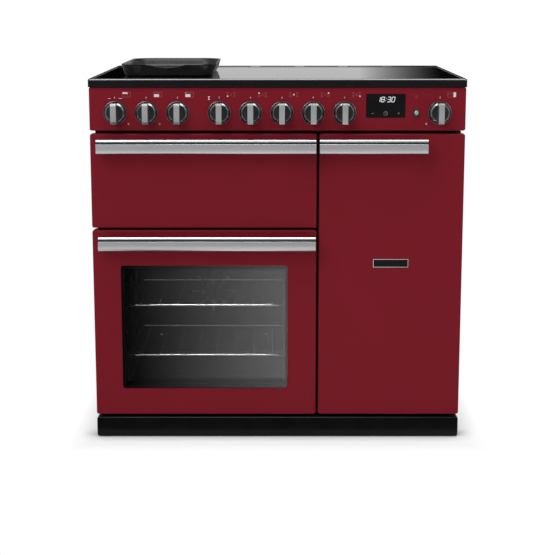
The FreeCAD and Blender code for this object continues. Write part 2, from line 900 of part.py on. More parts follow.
def fan_wheel(x, z):
    """Pressed fan wheel with a folded blade on each side, hub and shaft."""
    y = cavity_back - fan_setback
    plate = polygon_plate(fan_radius, blade_count, x, y - fan_plate, z, Y_AXIS, fan_plate)
    hub = polygon_plate(hub_radius, rod_sides, x, y - fan_plate - fan_setback / 2, z, Y_AXIS,
                        fan_setback / 2 + fan_plate)
    pieces = [plate, hub]
    blade_end = x + fan_radius * math.cos(math.pi / blade_count)
    for step in range(blade_count):
        blade = box(x + fan_radius / 2, blade_end, y - fan_plate - blade_height, y - fan_plate,
                    z - blade_thickness / 2, z + blade_thickness / 2)
        blade.rotate(V(x, 0, z), Y_AXIS, full_turn * (step + 0.5) / blade_count)
        pieces.append(blade)
    shaft_end = cavity_back + sheet + motor_bore - part_gap
    pieces.append(pin(shaft_radius, shaft_end - y + fan_plate, x, y - fan_plate, z, Y_AXIS))
    return fuse_all(pieces)


def fan_motor(x, z):
    y = cavity_back + sheet
    body = polygon_plate(motor_radius, disc_sides, x, y, z, Y_AXIS, motor_length)
    return body.cut(bore(shaft_radius + bore_clearance, motor_bore + overrun, x, y - overrun, z, Y_AXIS))


def ring_element(x, z):
    """Flat ring heater round the fan, fixed to the cavity back."""
    y = cavity_back - ring_section
    outer = polygon_plate(ring_radius + ring_section / 2, ring_sides, x, y, z, Y_AXIS, ring_section)
    inner = polygon_plate(ring_radius - ring_section / 2, ring_sides, x, y - overrun, z, Y_AXIS,
                          ring_section + 2 * overrun)
    return outer.cut(inner)


def lamp(cavity):
    """Glass lamp cover high on the cavity back."""
    return polygon_plate(lamp_radius, disc_sides, cavity.x0 + lamp_inset, cavity_back - lamp_height,
                         cavity.z1 - lamp_inset, Y_AXIS, lamp_height)


# Control panel

def knob_places():
    """Knob axes from left to right: three oven knobs, five zone knobs, the tall oven's."""
    pitch = fascia_width * knob_pitch_share
    first = -fascia_width * oven_knob_share
    middle = -fascia_width * hob_knob_share
    left = [first + step * pitch for step in range(oven_knob_count)]
    hob = [middle + step * pitch for step in range(hob_knob_count)]
    return left + hob + [fascia_width * tall_knob_share]


def control_panel():
    """Red fascia pan with holes for the spindles, the button and the display."""
    fascia = rounded_block(fascia_x0, fascia_x1, door_face, frame_face, panel_z0, panel_z1, door_corner)
    fascia = fascia.makeChamfer(door_roll, front_loop(fascia, door_face))
    inner = rounded_block(fascia_x0 + sheet, fascia_x1 - sheet, door_face + sheet, frame_face + overrun,
                          panel_z0 + sheet, panel_z1 - sheet, door_corner - sheet)
    fascia = fascia.cut(inner)
    holes = []
    for x in knob_places():
        holes.append(bore(spindle_radius + panel_hole_gap, sheet + 2 * overrun, x,
                          door_face - overrun, knob_z, Y_AXIS))
    holes.append(bore(stem_radius + panel_hole_gap, sheet + 2 * overrun, button_x,
                      door_face - overrun, knob_z, Y_AXIS))
    holes.append(box(display_x, display_x + display_width, door_face - overrun,
                     door_face + sheet + overrun, display_z0, display_z1))
    return fascia.cut(group(holes))


def display_module():
    """Clock and timer: glass in the panel cut-out on a housing behind it."""
    pane = box(display_x, display_x + display_width, door_face - display_proud, door_face + sheet,
               display_z0, display_z1)
    y0 = door_face + sheet
    housing = box(display_x - display_body_inset, display_x + display_width + display_body_inset,
                  y0, y0 + display_body_depth, display_z0 - display_body_inset,
                  display_z1 + display_body_inset / 2)
    return fuse_all([pane, housing])


def knob(x):
    """Round knob with a bar grip across it and the spindle behind it."""
    y = door_face - knob_gap
    crown_y = y - knob_depth
    skirt = polygon_plate(knob_radius, knob_sides, x, crown_y, knob_z, Y_AXIS, knob_depth)
    half = grip_width / 2
    front = crown_y - grip_reach
    outline = [V(x - half, crown_y + sheet, knob_z - grip_half_length),
               V(x - half, front + grip_round, knob_z - grip_top_half_length),
               V(x - half, front, knob_z - grip_top_half_length + grip_round),
               V(x - half, front, knob_z + grip_top_half_length - grip_round),
               V(x - half, front + grip_round, knob_z + grip_top_half_length),
               V(x - half, crown_y + sheet, knob_z + grip_half_length)]
    grip = prism(outline, X_AXIS * grip_width)
    spindle = pin(spindle_radius, spindle_length + sheet + knob_gap, x, y, knob_z, Y_AXIS)
    return fuse_all([skirt, grip, spindle])


def switch_block(x, size, radius):
    half = size / 2
    y0 = door_face + sheet
    block = box(x - half, x + half, y0, y0 + switch_depth, knob_z - half, knob_z + half)
    hole = bore(radius + bore_clearance, spindle_length + part_gap + overrun, x, y0 - overrun,
                knob_z, Y_AXIS)
    return block.cut(hole)


def panel_switches():
    """Rotary switches behind the knobs, and the push switch with its ring on the panel face."""
    blocks = [switch_block(x, switch_size, spindle_radius) for x in knob_places()]
    blocks.append(switch_block(button_x, button_switch_size, stem_radius))
    ring = polygon_plate(button_ring_radius, disc_sides, button_x, door_face - button_ring_height,
                         knob_z, Y_AXIS, button_ring_height)
    well = polygon_plate(button_radius + part_gap, disc_sides, button_x,
                         door_face - button_ring_height - overrun, knob_z, Y_AXIS,
                         button_ring_height + 2 * overrun)
    blocks.append(ring.cut(well))
    return group(blocks)


def light_button():
    y = door_face - button_gap
    cap = polygon_plate(button_radius, disc_sides, button_x, y - button_height, knob_z, Y_AXIS, button_height)
    stem = pin(stem_radius, sheet + spindle_length, button_x, y, knob_z, Y_AXIS)
    return fuse_all([cap, stem])


# Hob

def hob_trim():
    """Enamelled surround of the hob with an opening for the glass and one for the vent strip."""
    half = cooker_width / 2
    body = box(-half, half, trim_front, back_face, panel_z1, hob_top)
    front_corners = []
    for edge in edges_along(body, Z_AXIS):
        if abs(edge.Vertexes[0].Y - trim_front) < match_tolerance:
            front_corners.append(edge)
    body = body.makeFillet(trim_corner, front_corners)
    top = []
    for edge in body.Edges:
        bounds = edge.BoundBox
        on_top = bounds.ZMin > hob_top - match_tolerance
        if on_top and bounds.YMin < back_face - match_tolerance:
            top.append(edge)
    body = body.makeFillet(trim_round, top)
    body = body.cut(box(glass_x0, glass_x1, glass_y0, glass_y1, panel_z1 - overrun, hob_top + overrun))
    return body.cut(box(glass_x0, glass_x1, vent_y0, vent_y1, panel_z1 - overrun, hob_top + overrun))


def hob_glass():
    return box(glass_x0, glass_x1, glass_y0, glass_y1, glass_bottom, glass_top)


def vent_strip():
    """Rear vent grille with a row of long slots."""
    plate = box(glass_x0, glass_x1, vent_y0, vent_y1, hob_top - vent_sheet, hob_top)
    centre_y = (vent_y0 + vent_y1) / 2
    half = glass_width * vent_slot_length_share / 2
    slots = []
    for step in range(vent_slot_count):
        x = (step - (vent_slot_count - 1) / 2) * glass_width * vent_slot_pitch_share
        slots.append(box(x - half, x + half, centre_y - vent_slot_width / 2, centre_y + vent_slot_width / 2,
                         hob_top - vent_sheet - overrun, hob_top + overrun))
    return plate.cut(group(slots))


def coil_tray():
    """Open tray under the glass that carries the coils and the boards."""
    x0 = glass_x0 + tray_side_gap
    x1 = glass_x1 - tray_side_gap
    outer = box(x0, x1, tray_y0, glass_y1, tray_bottom, glass_bottom)
    inner = box(x0 + sheet, x1 - sheet, tray_y0 + sheet, glass_y1 - sheet,
                tray_bottom + sheet, glass_bottom + overrun)
    return outer.cut(inner)


coil_centre_y = (tray_y0 + glass_y1) / 2


def coil(x, y, radius):
    """Wound induction coil on its carrier plate and centre post."""
    top = glass_bottom - coil_gap
    disc = polygon_plate(radius, disc_sides, x, y, top - coil_thickness, Z_AXIS, coil_thickness)
    half = coil_post / 2
    post = box(x - half, x + half, y - half, y + half, tray_bottom + sheet, top - coil_thickness)
    return fuse_all([disc, post])


def induction_coils():
    reach = min(glass_width / 2, tray_length) / 2
    coils = [coil(0, coil_centre_y, reach * centre_coil_share)]
    for side in (-1, 1):
        for depth in (-1, 1):
            x = side * glass_width * coil_offset_x_share
            y = coil_centre_y + depth * tray_length * coil_offset_y_share
            coils.append(coil(x, y, reach * coil_share))
    return group(coils)


def power_board(side):
    """Circuit board with a finned heat sink, left or right of the middle coil."""
    x = side * glass_width * board_offset_share
    board_width = glass_width * board_width_share
    board_length = tray_length * board_length_share
    z = tray_bottom + sheet
    y0 = coil_centre_y - board_length / 2
    plate = box(x - board_width / 2, x + board_width / 2, y0, y0 + board_length, z, z + board_thickness)
    foot_z = z + board_thickness
    pitch = (board_width - fin_thickness) / (fin_count - 1)
    left = x - board_width / 2
    outline = [V(left, y0, foot_z - fin_thickness / 2)]
    for step in range(fin_count):
        fin_x = left + step * pitch
        outline.append(V(fin_x, y0, foot_z + fin_height))
        outline.append(V(fin_x + fin_thickness, y0, foot_z + fin_height))
        if step < fin_count - 1:
            outline.append(V(fin_x + fin_thickness, y0, foot_z + fin_thickness))
            outline.append(V(fin_x + pitch, y0, foot_z + fin_thickness))
    outline.append(V(x + board_width / 2, y0, foot_z - fin_thickness / 2))
    return fuse_all([plate, prism(outline, Y_AXIS * (board_length / 2))])


def rounded_loop(x0, x1, y0, y1, z, corner):
    """Closed level outline of a rectangle whose corners turn in a few equal steps."""
    points = []
    turns = ((x1, y1, 0), (x0, y1, 1), (x0, y0, 2), (x1, y0, 3))
    for x, y, quarter in turns:
        centre_x = x - corner if x == x1 else x + corner
        centre_y = y - corner if y == y1 else y + corner
        for step in range(griddle_corner_steps + 1):
            angle = math.pi / 2 * (quarter + step / griddle_corner_steps)
            points.append(V(centre_x + corner * math.cos(angle), centre_y + corner * math.sin(angle), z))
    return Part.makePolygon(points + [points[0]])


griddle_x = glass_x0 + griddle_inset
griddle_y = door_face + griddle_front
griddle_z = glass_top + part_gap
griddle_width = glass_width * griddle_width_share
griddle_length = (glass_y1 - glass_y0) * griddle_length_share


def griddle_body(shrink, z0, z1):
    """Flared block, drawn in all round by shrink."""
    x0 = griddle_x + shrink
    x1 = griddle_x + griddle_width - shrink
    y0 = griddle_y + shrink
    y1 = griddle_y + griddle_length - shrink
    low_share = 1 - (z0 - griddle_z) / griddle_height
    high_share = 1 - (z1 - griddle_z) / griddle_height
    low = griddle_flare * low_share
    high = griddle_flare * high_share
    loops = [rounded_loop(x0 + low, x1 - low, y0 + low, y1 - low, z0, griddle_base_corner - shrink),
             rounded_loop(x0 + high, x1 - high, y0 + high, y1 - high, z1, griddle_corner - shrink)]
    return Part.makeLoft(loops, True, True)


def griddle():
    """Cast tray with flared walls and a pouring dip in the front rim."""
    top = griddle_z + griddle_height
    outer = griddle_body(0, griddle_z, top)
    inner = griddle_body(griddle_wall, griddle_z + griddle_floor, top + overrun)
    centre = griddle_x + griddle_width / 2
    y0 = griddle_y - overrun
    left = V(centre - dip_half_width, y0, top + dip_lift)
    right = V(centre + dip_half_width, y0, top + dip_lift)
    dip = Part.Wire([Part.Arc(left, V(centre, y0, top - dip_depth), right).toShape(),
                     Part.LineSegment(right, left).toShape()])
    notch_run = Y_AXIS * (griddle_flare + griddle_wall + 2 * overrun)
    return outer.cut(inner).cut(Part.Face(dip).extrude(notch_run))


# Cooling blower above the ovens

blower_z = tray_bottom - blower_wall - blower_gap - blower_radius


def blower_housing():
    """Cross-flow housing under the coil tray, open towards the back."""
    half = blower_length / 2 + blower_gap + blower_wall
    reach = blower_radius + blower_gap + blower_wall
    outer = box(-half, half, blower_y - reach, blower_y + reach, blower_z - reach, tray_bottom)
    inner = box(-half + blower_wall, half - blower_wall, blower_y - reach + blower_wall,
                blower_y + reach + overrun, blower_z - reach + blower_wall, tray_bottom - blower_wall)
    hole = bore(blower_shaft + bore_clearance, 2 * half + 2 * overrun, -half - overrun,
                blower_y, blower_z, X_AXIS)
    return outer.cut(inner).cut(hole)


def blower_rotor():
    """Long impeller: two end plates joined by blades on one shaft."""
    half = blower_length / 2
    pieces = []
    for x in (-half, half - blower_wall):
        pieces.append(polygon_plate(blower_radius, disc_sides, x, blower_y, blower_z, X_AXIS, blower_wall))
    for step in range(rotor_blade_count):
        blade = box(-half, half, blower_y - blade_thickness / 2, blower_y + blade_thickness / 2,
                    blower_z + blower_radius * blade_root_share, blower_z + blower_radius * blade_tip_share)
        blade.rotate(V(0, blower_y, blower_z), X_AXIS, full_turn * step / rotor_blade_count)
        pieces.append(blade)
    reach = half + blower_gap + blower_wall
    pieces.append(pin(blower_shaft, 2 * reach, -reach, blower_y, blower_z, X_AXIS))
    return fuse_all(pieces)


def door_catch(x, z):
    """Sprung catch plate on the frame behind the free edge of a door."""
    return box(x - catch_width / 2, x + catch_width / 2, door_back + part_gap, frame_face,
               z - catch_height, z)


def door_catches():
    drop = handle_drop
    return group([door_catch(left_centre, main_z1 - drop), door_catch(left_centre, grill_z1 - drop),
                  door_catch(tall_x0 + catch_width, tall_z1 - drop)])


def build():
    """Every piece by its node name."""
    main_outer, main_inner = drop_door_skins(left_x0, left_x1, main_z0, main_z1)
    grill_outer, grill_inner = drop_door_skins(left_x0, left_x1, grill_z0, grill_z1)
    tall_outer, tall_inner = tall_door_skins()
    left_handle_x0 = left_x0 + handle_left_inset
    left_handle_x1 = left_x1 - handle_right_inset
    tall_handle_x1 = tall_x0 + (tall_x1 - tall_x0) * tall_handle_share
    nodes = {
        "base_tray": base_tray(),
        "levelling_feet": levelling_feet(),
        "side_panels": group([side_panel(-1), side_panel(1)]),
        "rear_panel": rear_panel(),
        "front_frame": front_frame(),
        "plinth": plinth(),
        "terminal_box": terminal_box(),
        "main_oven_liner": liner(main_cavity, main_cavity.centre_z),
        "grill_liner": liner(grill_cavity, None),
        "tall_oven_liner": liner(tall_cavity, tall_fan_z),
        "oven_insulation": group([wrap(main_cavity), wrap(grill_cavity), wrap(tall_cavity)]),
        "door_seals": group([seal(main_cavity), seal(grill_cavity), seal(tall_cavity)]),
        "door_catches": door_catches(),
        "door_hinges": door_hinges(),
        "shelf_guides": shelf_guides(),
        "main_rack_upper": rack(main_cavity, level(main_tops, upper_level_share)),
        "main_rack_lower": rack(main_cavity, level(main_tops, lower_level_share)),
        "tall_rack_upper": rack(tall_cavity, level(tall_tops, upper_level_share)),
        "tall_rack_lower": rack(tall_cavity, level(tall_tops, lower_level_share)),
        "fan_baffles": group([main_baffle(), tall_baffle()]),
        "main_fan_wheel": fan_wheel(main_cavity.centre_x, main_cavity.centre_z),
        "tall_fan_wheel": fan_wheel(tall_cavity.centre_x, tall_fan_z),
        "fan_motors": group([fan_motor(main_cavity.centre_x, main_cavity.centre_z),
                             fan_motor(tall_cavity.centre_x, tall_fan_z)]),
        "ring_elements": group([ring_element(main_cavity.centre_x, main_cavity.centre_z),
                                ring_element(tall_cavity.centre_x, tall_fan_z)]),
        "oven_lamps": group([lamp(main_cavity), lamp(tall_cavity)]),
        "grill_element": grill_element(),
        "grill_pan": grill_pan(),
        "grill_trivet": grill_trivet(),
        "main_door_panel": main_outer.cut(window_cut()),
        "main_door_inner": main_inner.cut(window_cut()),
        "main_door_glass": window_panes(),
        "main_door_handle": handle(left_handle_x0, left_handle_x1, main_z1),
        "grill_door_panel": grill_outer,
        "grill_door_inner": grill_inner,
        "grill_door_handle": handle(left_handle_x0, left_handle_x1, grill_z1),
        "tall_door_panel": tall_outer,
        "tall_door_inner": tall_inner,
        "tall_door_handle": handle(tall_x0, tall_handle_x1, tall_z1),
        "control_panel": control_panel(),
        "display_module": display_module(),
        "panel_switches": panel_switches(),
        "light_button": light_button(),
        "hob_trim": hob_trim(),
        "hob_glass": hob_glass(),
        "vent_strip": vent_strip(),
        "coil_tray": coil_tray(),
        "induction_coils": induction_coils(),
        "power_boards": group([power_board(-1), power_board(1)]),
        "griddle": griddle(),
        "blower_housing": blower_housing(),
        "blower_rotor": blower_rotor(),
    }
    for number, x in enumerate(knob_places(), 1):
        nodes["knob_%d" % number] = knob(x)
    return nodes


def main():
    os.makedirs("parts", exist_ok=True)
    nodes = build()
    for name, shape in nodes.items():
        shape.exportStep("parts/%s.step" % name)
    print(len(nodes), "nodes")


main()
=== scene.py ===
import json
import math

import bmesh
import bpy
from bpy.props import FloatProperty, FloatVectorProperty, IntProperty, PointerProperty
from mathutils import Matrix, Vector


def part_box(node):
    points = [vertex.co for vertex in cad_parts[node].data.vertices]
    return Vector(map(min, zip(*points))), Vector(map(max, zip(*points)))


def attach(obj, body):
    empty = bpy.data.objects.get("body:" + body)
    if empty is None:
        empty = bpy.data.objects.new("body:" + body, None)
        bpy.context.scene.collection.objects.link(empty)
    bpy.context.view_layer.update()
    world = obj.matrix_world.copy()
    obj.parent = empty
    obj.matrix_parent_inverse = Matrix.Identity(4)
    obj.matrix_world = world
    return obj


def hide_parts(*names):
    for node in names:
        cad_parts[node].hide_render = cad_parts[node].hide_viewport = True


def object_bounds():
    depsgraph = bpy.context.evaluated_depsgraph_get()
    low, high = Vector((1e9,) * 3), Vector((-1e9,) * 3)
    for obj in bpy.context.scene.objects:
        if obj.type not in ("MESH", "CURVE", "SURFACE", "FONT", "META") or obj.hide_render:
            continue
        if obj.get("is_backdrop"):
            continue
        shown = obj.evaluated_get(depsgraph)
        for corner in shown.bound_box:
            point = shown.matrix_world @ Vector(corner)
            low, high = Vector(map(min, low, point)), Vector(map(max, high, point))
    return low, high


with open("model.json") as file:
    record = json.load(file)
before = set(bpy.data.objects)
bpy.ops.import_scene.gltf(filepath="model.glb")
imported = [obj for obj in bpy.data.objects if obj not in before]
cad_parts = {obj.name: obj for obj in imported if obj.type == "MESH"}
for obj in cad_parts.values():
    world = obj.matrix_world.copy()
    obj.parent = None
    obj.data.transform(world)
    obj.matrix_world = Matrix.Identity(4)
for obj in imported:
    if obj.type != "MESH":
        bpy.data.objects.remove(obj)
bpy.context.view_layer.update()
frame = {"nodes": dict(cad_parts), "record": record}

bl_info = {
    "name": "Induction range cooker",
    "version": (1, 0, 0),
    "blender": (4, 5, 0),
    "location": "View3D > Sidebar > Cooker",
    "description": "Dresses the packed range cooker with its finishes, knobs, racks and stage",
    "category": "Object",
}

MM = 0.001


# Shader nodes

class Signal:
    """One output socket; arithmetic on it adds Math nodes to its finish."""

    def __init__(self, finish, socket):
        self.finish = finish
        self.socket = socket

    def math(self, operation, *values, clamp=False):
        sockets = dict(enumerate(values))
        return self.finish.add("ShaderNodeMath", {"operation": operation, "use_clamp": clamp}, sockets)

    def __add__(self, other):
        return self.math("ADD", self, other)

    def __sub__(self, other):
        return self.math("SUBTRACT", self, other)

    def __rsub__(self, other):
        return self.math("SUBTRACT", other, self)

    def __mul__(self, other):
        return self.math("MULTIPLY", self, other)

    def __truediv__(self, other):
        return self.math("DIVIDE", self, other)

    def __rtruediv__(self, other):
        return self.math("DIVIDE", other, self)

    def __pow__(self, other):
        return self.math("POWER", self, other)

    def __rpow__(self, other):
        return self.math("POWER", other, self)

    def __lt__(self, other):
        return self.math("LESS_THAN", self, other)

    def __gt__(self, other):
        return self.math("GREATER_THAN", self, other)

    __radd__ = __add__
    __rmul__ = __mul__

    def size(self):
        return self.math("ABSOLUTE", self)

    def smaller(self, other):
        return self.math("MINIMUM", self, other)

    def larger(self, other):
        return self.math("MAXIMUM", self, other)

    def root(self):
        return self.math("SQRT", self)

    def clamped(self):
        return self.math("ADD", self, 0, clamp=True)

    def climb(self, start, length):
        """0 up to start, then rising to 1 over the length."""
        return ((self - start) / length).clamped()

    def fall(self, end, length):
        """1 until the length before end, then sinking to 0 there."""
        return ((end - self) / length).clamped()

    def band(self, centre, half_width):
        """1 at centre, falling to 0 at half_width on each side."""
        return (1 - (self - centre).size() / half_width).clamped()


class Finish:
    """A material and the one way to add nodes to it."""

    def __init__(self, name, owner=None):
        self.owner = owner or bpy.data.materials.new(name)
        self.owner.use_nodes = True
        self.tree = self.owner.node_tree
        self.tree.nodes.clear()

    def add(self, kind, settings=None, sockets=None, out=0):
        node = self.tree.nodes.new(kind)
        for name, value in (settings or {}).items():
            setattr(node, name, value)
        for name, value in (sockets or {}).items():
            socket = node.inputs[name]
            if isinstance(value, Signal):
                self.tree.links.new(value.socket, socket)
            else:
                socket.default_value = value
        return None if out is None else Signal(self, node.outputs[out])

    def places(self, stretch=(1, 1, 1)):
        """Object coordinates in metres, stretched along the axes."""
        spot = self.add("ShaderNodeTexCoord", out="Object")
        if stretch == (1, 1, 1):
            return spot
        return self.add("ShaderNodeVectorMath", {"operation": "MULTIPLY"}, {0: spot, 1: stretch})

    def axes(self, letters):
        """The object coordinates of those letters, in metres."""
        split = self.add("ShaderNodeSeparateXYZ", sockets={0: self.places()}).socket.node
        return [Signal(self, split.outputs[letter]) for letter in letters]

    def noise(self, scale, detail=3.0, roughness=0.5, stretch=(1, 1, 1)):
        sockets = {"Vector": self.places(stretch), "Scale": scale, "Detail": detail, "Roughness": roughness}
        return self.add("ShaderNodeTexNoise", sockets=sockets, out="Fac")

    def cells(self, scale, feature="F1", out="Distance", randomness=1.0):
        return self.add("ShaderNodeTexVoronoi", {"feature": feature},
                        {"Vector": self.places(), "Scale": scale, "Randomness": randomness}, out=out)

    def blend(self, share, low, high):
        """Colour between low and high; the Mix node's colour sockets are 6 and 7, its output is 2."""
        low, high = (end if isinstance(end, Signal) else rgba(end) for end in (low, high))
        return self.add("ShaderNodeMix", {"data_type": "RGBA"}, {0: share, 6: low, 7: high}, out=2)

    def bump(self, height, distance, strength=1.0):
        return self.add("ShaderNodeBump", sockets={"Height": height, "Distance": distance,
                                                   "Strength": strength})

    def surface(self, **sockets):
        """Principled shader as the finish's surface; socket names use _ for a blank."""
        named = {name.replace("_", " "): value for name, value in sockets.items()}
        self.close(self.add("ShaderNodeBsdfPrincipled", sockets=named, out="BSDF"))
        return self.owner

    def glow(self, share, most=1.0, kind="ShaderNodeEmission"):
        """Plain light whose grey goes from black at 0 to the most at that share."""
        grey = self.blend(share / most, (0, 0, 0), (most, most, most))
        return self.add(kind, sockets={"Color": grey, "Strength": 1.0})

    def close(self, shader, output="ShaderNodeOutputMaterial"):
        self.add(output, sockets={"Surface": shader}, out=None)


def rgba(colour):
    return tuple(colour[:3]) + (1.0,)


def scaled(colour, share):
    return tuple(channel * share for channel in colour[:3])


FINISHES = {}


def finish(name):
    """The finish of that name, made the first time it is asked for."""
    if name not in FINISHES:
        FINISHES[name] = RECIPES[name](name, bpy.context.scene.cooker_colours)
    return FINISHES[name]


def door_enamel(name, colours):
    """Baked red enamel: faint cloudiness, fine flecks and orange peel."""
    paint = Finish(name)
    clouds = paint.noise(7.0, detail=2.0)
    flecks = paint.cells(1400.0)
    shade = clouds * 0.12 + flecks * 0.1 + 0.88
    colour = paint.blend((shade - 0.8) / 0.3, scaled(colours.door, 0.86), scaled(colours.door, 1.16))
    peel = paint.noise(260.0, detail=2.0) + flecks * 0.15
    return paint.surface(Base_Color=colour, Roughness=clouds * 0.1 + 0.34, Specular_IOR_Level=0.07,
                         Normal=paint.bump(peel, 0.00012, 0.35))


def black_enamel(name, colours):
    """Gloss black enamel of the plinth, with orange peel."""
    paint = Finish(name)
    clouds = paint.noise(30.0)
    peel = paint.noise(300.0, detail=2.0)
    colour = paint.blend(clouds, (0.003, 0.003, 0.0033), (0.0065, 0.0065, 0.007))
    return paint.surface(Base_Color=colour, Roughness=clouds * 0.08 + 0.16, Specular_IOR_Level=0.11,
                         Normal=paint.bump(peel, 0.0001, 0.25))


def trim_enamel(name, colours):
    """Black enamel of the hob's surround: dull faces, and a polished coat on the rolled top edge."""
    paint = Finish(name)
    z = paint.axes("Z")[0]
    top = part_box("hob_trim")[1].z
    clouds = paint.noise(30.0)
    peel = paint.noise(260.0, detail=2.0)
    colour = paint.blend(clouds, (0.003, 0.003, 0.0035), (0.007, 0.007, 0.008))
    rolled = z.climb(top - 4.2 * MM, 0.8 * MM)
    return paint.surface(Base_Color=colour, Roughness=clouds * 0.08 + 0.2, Specular_IOR_Level=0.08,
                         Coat_Weight=rolled * (clouds * 0.2 + 0.7), Coat_Roughness=0.12,
                         Coat_IOR=2.4, Normal=paint.bump(peel, 0.0001, 0.2))


def strip_enamel(name, colours):
    """Glossy black enamel of the vent strip behind the glass."""
    paint = Finish(name)
    clouds = paint.noise(30.0)
    colour = paint.blend(clouds, (0.004, 0.004, 0.0045), (0.009, 0.009, 0.01))
    return paint.surface(Base_Color=colour, Roughness=clouds * 0.1 + 0.16, Specular_IOR_Level=0.26)


def black_sheet(name, colours):
    """Powder-coated steel with its fine pebbled skin."""
    paint = Finish(name)
    pebble = paint.noise(900.0, detail=2.0)
    scuffs = paint.noise(40.0, stretch=(0.3, 1, 1))
    colour = paint.blend(scuffs, (0.005, 0.005, 0.0055), (0.011, 0.011, 0.0115))
    return paint.surface(Base_Color=colour, Roughness=pebble * 0.2 + 0.4, Specular_IOR_Level=0.2,
                         Normal=paint.bump(pebble, 0.0001, 0.5))


def spangled(zinc, heads=0.0, painted_recess_shade=0.0):
    """Zinc spangle: crystals that differ in tone and dullness, with screw heads and painted shade in the
    ring round each head and in its cross recess.
    """
    crystal = zinc.cells(120.0, out="Color")
    tone = zinc.add("ShaderNodeSeparateColor", sockets={0: crystal})
    grain = zinc.noise(500.0)
    sheet = zinc.blend(tone, (0.34, 0.35, 0.36), (0.52, 0.53, 0.54))
    colour = zinc.blend(painted_recess_shade, zinc.blend(heads, sheet, (0.74, 0.74, 0.73)), (0.03, 0.03, 0.03))
    return zinc.surface(Base_Color=colour, Metallic=1.0, Roughness=tone * 0.18 + grain * 0.1 + 0.32,
                        Normal=zinc.bump(grain, 0.00005, 0.3))


def galvanised(name, colours):
    """Plain galvanised sheet of the base and the housings."""
    return spangled(Finish(name))


def rear_sheet(name, colours):
    """Galvanised back with flush cross-head screws along its edges and down its middle; the dark ring round
    each head and its dark cross are painted shade.
    """
    zinc = Finish(name)
    low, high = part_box("rear_panel")
    inset, radius, line = 15 * MM, 5.0 * MM, 1.0 * MM
    x, z = zinc.axes("XZ")
    aside = x.size().smaller((x.size() - (high.x - inset)).size())
    row, *others = ((z - height).size() for height in
                    (low.z + inset, (low.z + high.z) / 2, high.z - inset))
    for other in others:
        row = row.smaller(other)
    reach = (aside * aside + row * row).root()
    # Painted shade: a dark ring round each screw head and a dark cross in it, where the recesses would be in
    # shadow.
    cross = (aside.smaller(row) < line) * (reach < radius * 0.6)
    return spangled(zinc, reach < radius, (reach.band(radius, line) + cross).clamped())


def brushed(name, colour, stretch, sheen):
    """Brushed metal whose lines run along the axis with the smallest stretch."""
    metal = Finish(name)
    lines = metal.noise(1.0, detail=4.0, roughness=0.7, stretch=stretch)
    waves = metal.noise(12.0, detail=2.0)
    tone = lines * 0.7 + waves * 0.3
    shade = metal.blend(tone, scaled(colour, 0.8), scaled(colour, 1.12))
    return metal.surface(Base_Color=shade, Metallic=1.0, Roughness=lines * 0.22 + sheen,
                         Normal=metal.bump(lines, 0.00004, 0.4))


def handle_steel(name, colours):
    return brushed(name, colours.steel, (14.0, 2600.0, 2600.0), 0.1)


def knob_bar_steel(name, colours):
    return brushed(name, scaled(colours.steel, 0.72), (2600.0, 2600.0, 30.0), 0.26)


def knob_metal(name, colours):
    return brushed(name, scaled(colours.steel, 0.8), (900.0, 900.0, 900.0), 0.16)


def knob_face(name, colours):
    """Dark anodised disc under the bar, with fine vertical streaks."""
    disc = Finish(name)
    streaks = disc.noise(1.0, detail=4.0, roughness=0.7, stretch=(1500.0, 1500.0, 60.0))
    colour = disc.blend(streaks, (0.004, 0.007, 0.006), (0.02, 0.028, 0.025))
    return disc.surface(Base_Color=colour, Metallic=0.3, Roughness=streaks * 0.25 + 0.22,
                        Normal=disc.bump(streaks, 0.00004, 0.4))


def dark_chrome(name, colours):
    """Smoked chrome of the knobs' collars, with a fine turned grain."""
    metal = Finish(name)
    grain = metal.noise(900.0, detail=3.0)
    colour = metal.blend(grain, (0.16, 0.17, 0.165), (0.25, 0.26, 0.255))
    return metal.surface(Base_Color=colour, Metallic=1.0, Roughness=grain * 0.12 + 0.2,
                         Normal=metal.bump(grain, 0.00003, 0.3))


def chrome_wire(name, colours):
    """Chromed rack wire, slightly yellowed by heat."""
    metal = Finish(name)
    marks = metal.noise(180.0, detail=3.0)
    heat = metal.noise(14.0)
    colour = metal.blend(heat, (0.72, 0.71, 0.69), (0.88, 0.88, 0.88))
    return metal.surface(Base_Color=colour, Metallic=1.0, Roughness=marks * 0.1 + 0.2,
                         Normal=metal.bump(marks, 0.00002, 0.1))


def bright_trim(name, colours):
    """Polished metal of the plate's frame and the screws."""
    metal = Finish(name)
    marks = metal.noise(300.0, detail=3.0)
    colour = metal.blend(marks, (0.58, 0.58, 0.58), (0.76, 0.76, 0.76))
    return metal.surface(Base_Color=colour, Metallic=1.0, Roughness=marks * 0.08 + 0.12)


def cavity_enamel(name, colours):
    """Dark oven enamel with fine pale flecks and a faint ripple."""
    glaze = Finish(name)
    spots = glaze.cells(420.0)
    fleck = (spots < 0.13) * glaze.noise(60.0)
    ripple = glaze.noise(45.0, detail=2.0)
    ground = glaze.blend(ripple, (0.006, 0.006, 0.007), (0.013, 0.013, 0.014))
    colour = glaze.blend(fleck, ground, (0.09, 0.09, 0.095))
    return glaze.surface(Base_Color=colour, Roughness=ripple * 0.12 + 0.24, Specular_IOR_Level=0.3,
                         Normal=glaze.bump(ripple, 0.0003, 0.3))


def window_glass(name, colours):
    """Clear door glass with faint smears."""
    pane = Finish(name)
    smears = pane.noise(9.0, detail=3.0)
    tint = pane.blend(smears, (0.002, 0.002, 0.0025), (0.005, 0.005, 0.006))
    return pane.surface(Base_Color=tint, Roughness=smears * 0.03 + 0.015, IOR=2.2, Specular_IOR_Level=1.0,
                        Alpha=smears * 0.02 + 0.11)


